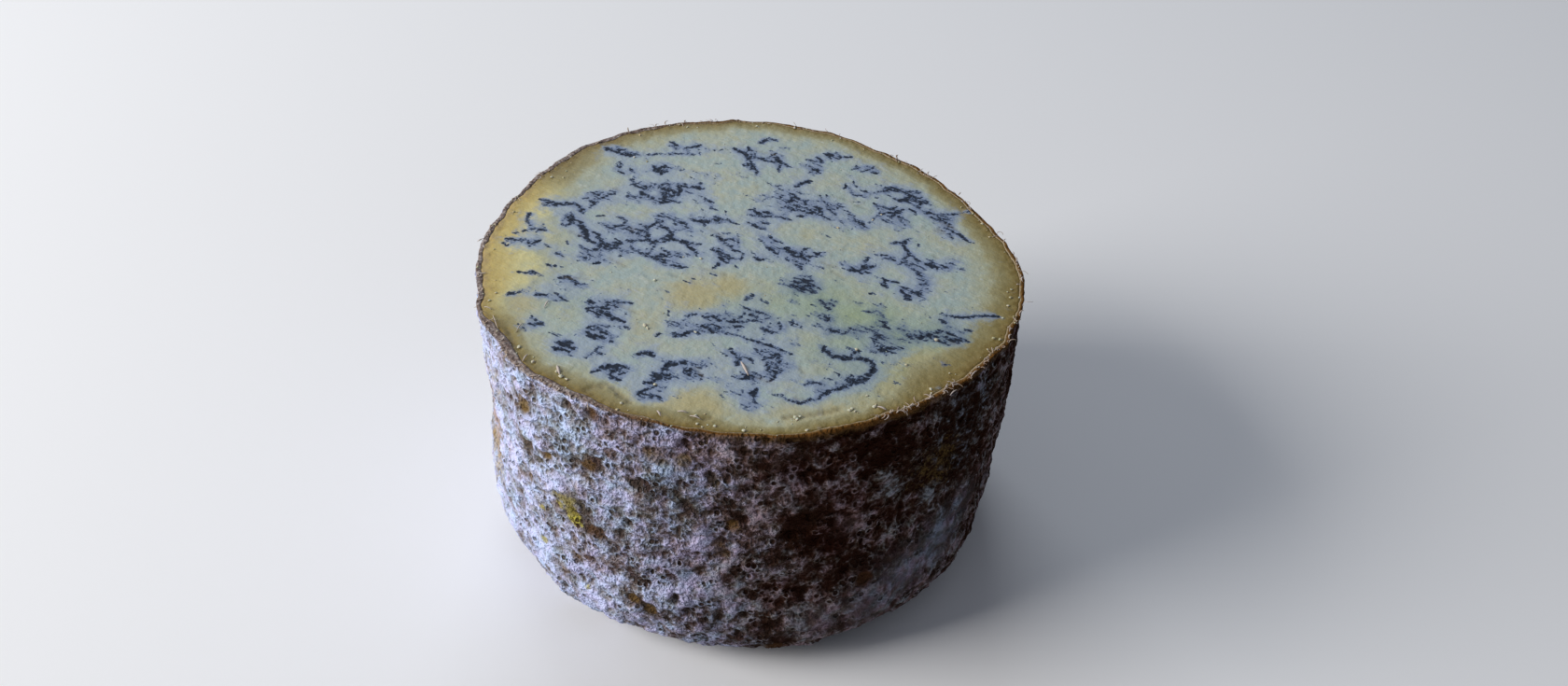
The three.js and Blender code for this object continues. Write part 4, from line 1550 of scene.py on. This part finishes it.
def paste_look():
    """Cream paste, golden towards the rind, with blue veins and their haze."""
    look = Look("paste")
    grain, curd = look.noise(0.8, 2, 0.6), look.noise(3.2, 3)
    streak = look.noise(0.9, 2, 0.6, (5.5, 0.9, 1), SMEAR)
    patches = look.noise(12, 3)
    halo = look.mark("halo")

    cream = look.ramp(
        look.total(0.5, (patches, 1.0), (curd, 0.5)),
        (0.15, (0.365, 0.448, 0.425)),
        (0.5, (0.412, 0.462, 0.392)),
        (0.85, (0.46, 0.468, 0.33)),
    )
    outer = look.total(look.mark("ripe"), (patches, 0.5), (curd, 0.2))
    colour = look.lay(cream, (0.415, 0.41, 0.255), outer, -1.1, 0.1, 0.8)
    light = look.total(0.0, (streak, 0.8), (curd, 1.0), (look.mark("green_and_shade"), -0.5))
    colour = look.lay(colour, (0.605, 0.65, 0.61), light, 0.12, 0.75, 0.65)
    warm = look.total(look.mark("warm"), (curd, 0.25), (streak, 0.2))
    colour = look.lay(colour, (0.46, 0.40, 0.20), warm, 0.1, 0.9, 0.9)
    # The green patches: partly the paste's own green and partly painted shade, as they are darker.
    colour = look.mix(look.times(look.mark("green_and_shade"), 0.85), colour, (0.33, 0.405, 0.245))

    # The ripened band: brown at the rind, then golden, and brighter on one side.
    ripe = look.total(look.mark("ripe"), (curd, 0.16), (streak, 0.12), (grain, 0.05))
    brown = look.ramp(
        ripe,
        (0.0, (0.360, 0.335, 0.190)),
        (0.17, (0.325, 0.290, 0.145)),
        (0.37, (0.295, 0.250, 0.108)),
        (0.6, (0.264, 0.208, 0.072)),
        (0.8, (0.228, 0.164, 0.043)),
        (1.0, (0.180, 0.116, 0.024)),
    )
    golden = look.ramp(
        ripe,
        (0.0, (0.60, 0.57, 0.30)),
        (0.3, (0.62, 0.55, 0.25)),
        (0.6, (0.56, 0.45, 0.16)),
        (0.8, (0.53, 0.40, 0.12)),
        (1.0, (0.46, 0.33, 0.14)),
    )
    band = look.mix(look.mark("gilt"), brown, golden)
    colour = look.mix(look.step(ripe, -0.2, 0.15), colour, band)

    # Blue mist, the haze close to the veins, and the veins.
    mist = look.total(0.0, (look.mark("mist"), 2.7), (patches, 0.5), (curd, 0.4), (streak, 0.2))
    blue = look.mix(look.mark("green_and_shade"), (0.325, 0.40, 0.485), (0.27, 0.35, 0.27))
    colour = look.lay(colour, blue, mist, 0.18, 0.65, 0.85)
    haze = look.total(0.0, (halo, 2.3), (curd, 0.45), (streak, 0.35), (grain, 0.2))
    slate = look.mix(look.mark("green_and_shade"), (0.21, 0.27, 0.405), (0.17, 0.235, 0.265))
    colour = look.lay(colour, slate, haze, 0.3, 0.95, 0.85)
    speck = look.total(halo, (streak, 0.75), (grain, 0.45))
    colour = look.lay(colour, (0.075, 0.115, 0.19), speck, 0.54, 0.76, 0.75)
    rough = look.total(look.mark("vein"), (grain, 0.25), (streak, 0.45))
    rough = look.total(rough, (look.noise(1.6, 2), 0.25), (look.noise(7, 2), 0.22))
    colour = look.lay(colour, (0.065, 0.105, 0.20), rough, 0.42, 0.56, 0.85)
    colour = look.lay(colour, (0.005, 0.011, 0.024), rough, 0.54, 0.70, 0.95)
    colour = look.mix(look.times(look.mark("crease"), 0.6), colour, (0.20, 0.15, 0.06))
    sunken = look.step(rough, 0.4, 0.7)
    relief = look.total(0.0, (grain, 0.1), (curd, 0.6), (streak, 0.2), (sunken, -0.5))
    return look.surface({
        "Base Color": colour,
        "Roughness": look.total(0.5, (curd, 0.1), (sunken, 0.2)),
        "Specular IOR Level": 0.3,
        "Subsurface Weight": 0.15,
        "Subsurface Radius": (1.0, 0.8, 0.5),
        "Subsurface Scale": 0.0015,
        "Normal": look.bump(relief, 0.25),
    })


def crumb_look():
    look = Look("crumb")
    shade = look.total(0.1, (look.mark("kind"), 0.8), (look.noise(0.6, 2), 0.2))
    colour = look.ramp(
        shade,
        (0.0, (0.40, 0.33, 0.18)),
        (0.35, (0.50, 0.46, 0.29)),
        (0.75, (0.60, 0.59, 0.47)),
        (1.0, (0.55, 0.58, 0.58)),
    )
    return look.surface({
        "Base Color": colour,
        "Roughness": 0.6,
        "Subsurface Weight": 0.15,
        "Subsurface Scale": 0.001,
        "Normal": look.bump(look.noise(0.35, 2), 0.08),
    })


def flake_look():
    look = Look("flake")
    shade = look.total(0.1, (look.mark("kind"), 0.8), (look.noise(0.5, 2), 0.2))
    colour = look.ramp(
        shade,
        (0.0, (0.22, 0.12, 0.07)),
        (0.35, (0.42, 0.32, 0.24)),
        (1.0, (0.60, 0.53, 0.50)),
    )
    normal = look.bump(look.noise(0.3, 2), 0.05)
    return look.surface({"Base Color": colour, "Roughness": 0.75, "Normal": normal})


# ---------------------------------------------------------------------------------------------
# Camera, lights and floor.

FLOOR_SIZE = 8.0
FLOOR_DROP = 0.0001
FLOOR_COLOUR = (0.90, 0.90, 0.91)
WORLD_COLOUR = (0.80, 0.86, 1.0)
WORLD_STRENGTH = 0.20
AIM = Vector((0, 0, 0.06))

# Soft lights: name, place, size in metres, power in watts, colour.
LIGHTS = [
    ("key", (-2.05, -0.52, 1.22), 1.3, 61, (1.0, 0.98, 0.95)),
    ("back", (-0.6, 2.4, 2.0), 1.8, 25, (0.85, 0.92, 1.0)),
]


def add_camera():
    camera = bpy.data.objects.new("camera", bpy.data.cameras.new("camera"))
    camera.data.sensor_width = SENSOR_MM
    camera.data.lens = FOCAL_PIXELS / IMAGE[0] * SENSOR_MM
    camera.data.clip_start = 0.01
    axes = Matrix((RIGHT, UP, BACK)).transposed().to_4x4()
    camera.matrix_world = Matrix.Translation(EYE * MM) @ axes
    bpy.context.scene.collection.objects.link(camera)
    bpy.context.scene.camera = camera


def add_lights():
    for name, place, size, power, colour in LIGHTS:
        lamp = bpy.data.lights.new(name, "AREA")
        lamp.size = size
        lamp.energy = power
        lamp.color = colour
        held = bpy.data.objects.new(name, lamp)
        held.location = place
        held.rotation_euler = (Vector(place) - AIM).to_track_quat("Z", "Y").to_euler()
        bpy.context.scene.collection.objects.link(held)
    world = bpy.data.worlds.new("world")
    world.use_nodes = True
    sky = world.node_tree.nodes["Background"]
    sky.inputs["Color"].default_value = (*WORLD_COLOUR, 1)
    sky.inputs["Strength"].default_value = WORLD_STRENGTH
    bpy.context.scene.world = world


def add_floor():
    half = FLOOR_SIZE / 2
    corners = [(-half, -half), (half, -half), (half, half), (-half, half)]
    mesh = bpy.data.meshes.new("floor")
    mesh.from_pydata([(x, y, -FLOOR_DROP) for x, y in corners], [], [(0, 1, 2, 3)])
    looks = {"Base Color": FLOOR_COLOUR, "Roughness": 0.9, "Specular IOR Level": 0.1}
    finish_object("floor", mesh, Look("floor").surface(looks))


# ---------------------------------------------------------------------------------------------
# The scene.

bpy.context.scene.view_settings.view_transform = "Standard"
add_camera()
add_lights()
add_floor()

rind, paste = make_rind(rind_look()), make_paste(paste_look())
crumbs, flakes = make_crumbs(crumb_look()), make_flakes(flake_look())
for piece in (rind, paste, crumbs, flakes):
    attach(piece, BODY)
for piece in (rind, paste):
    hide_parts(NODE)
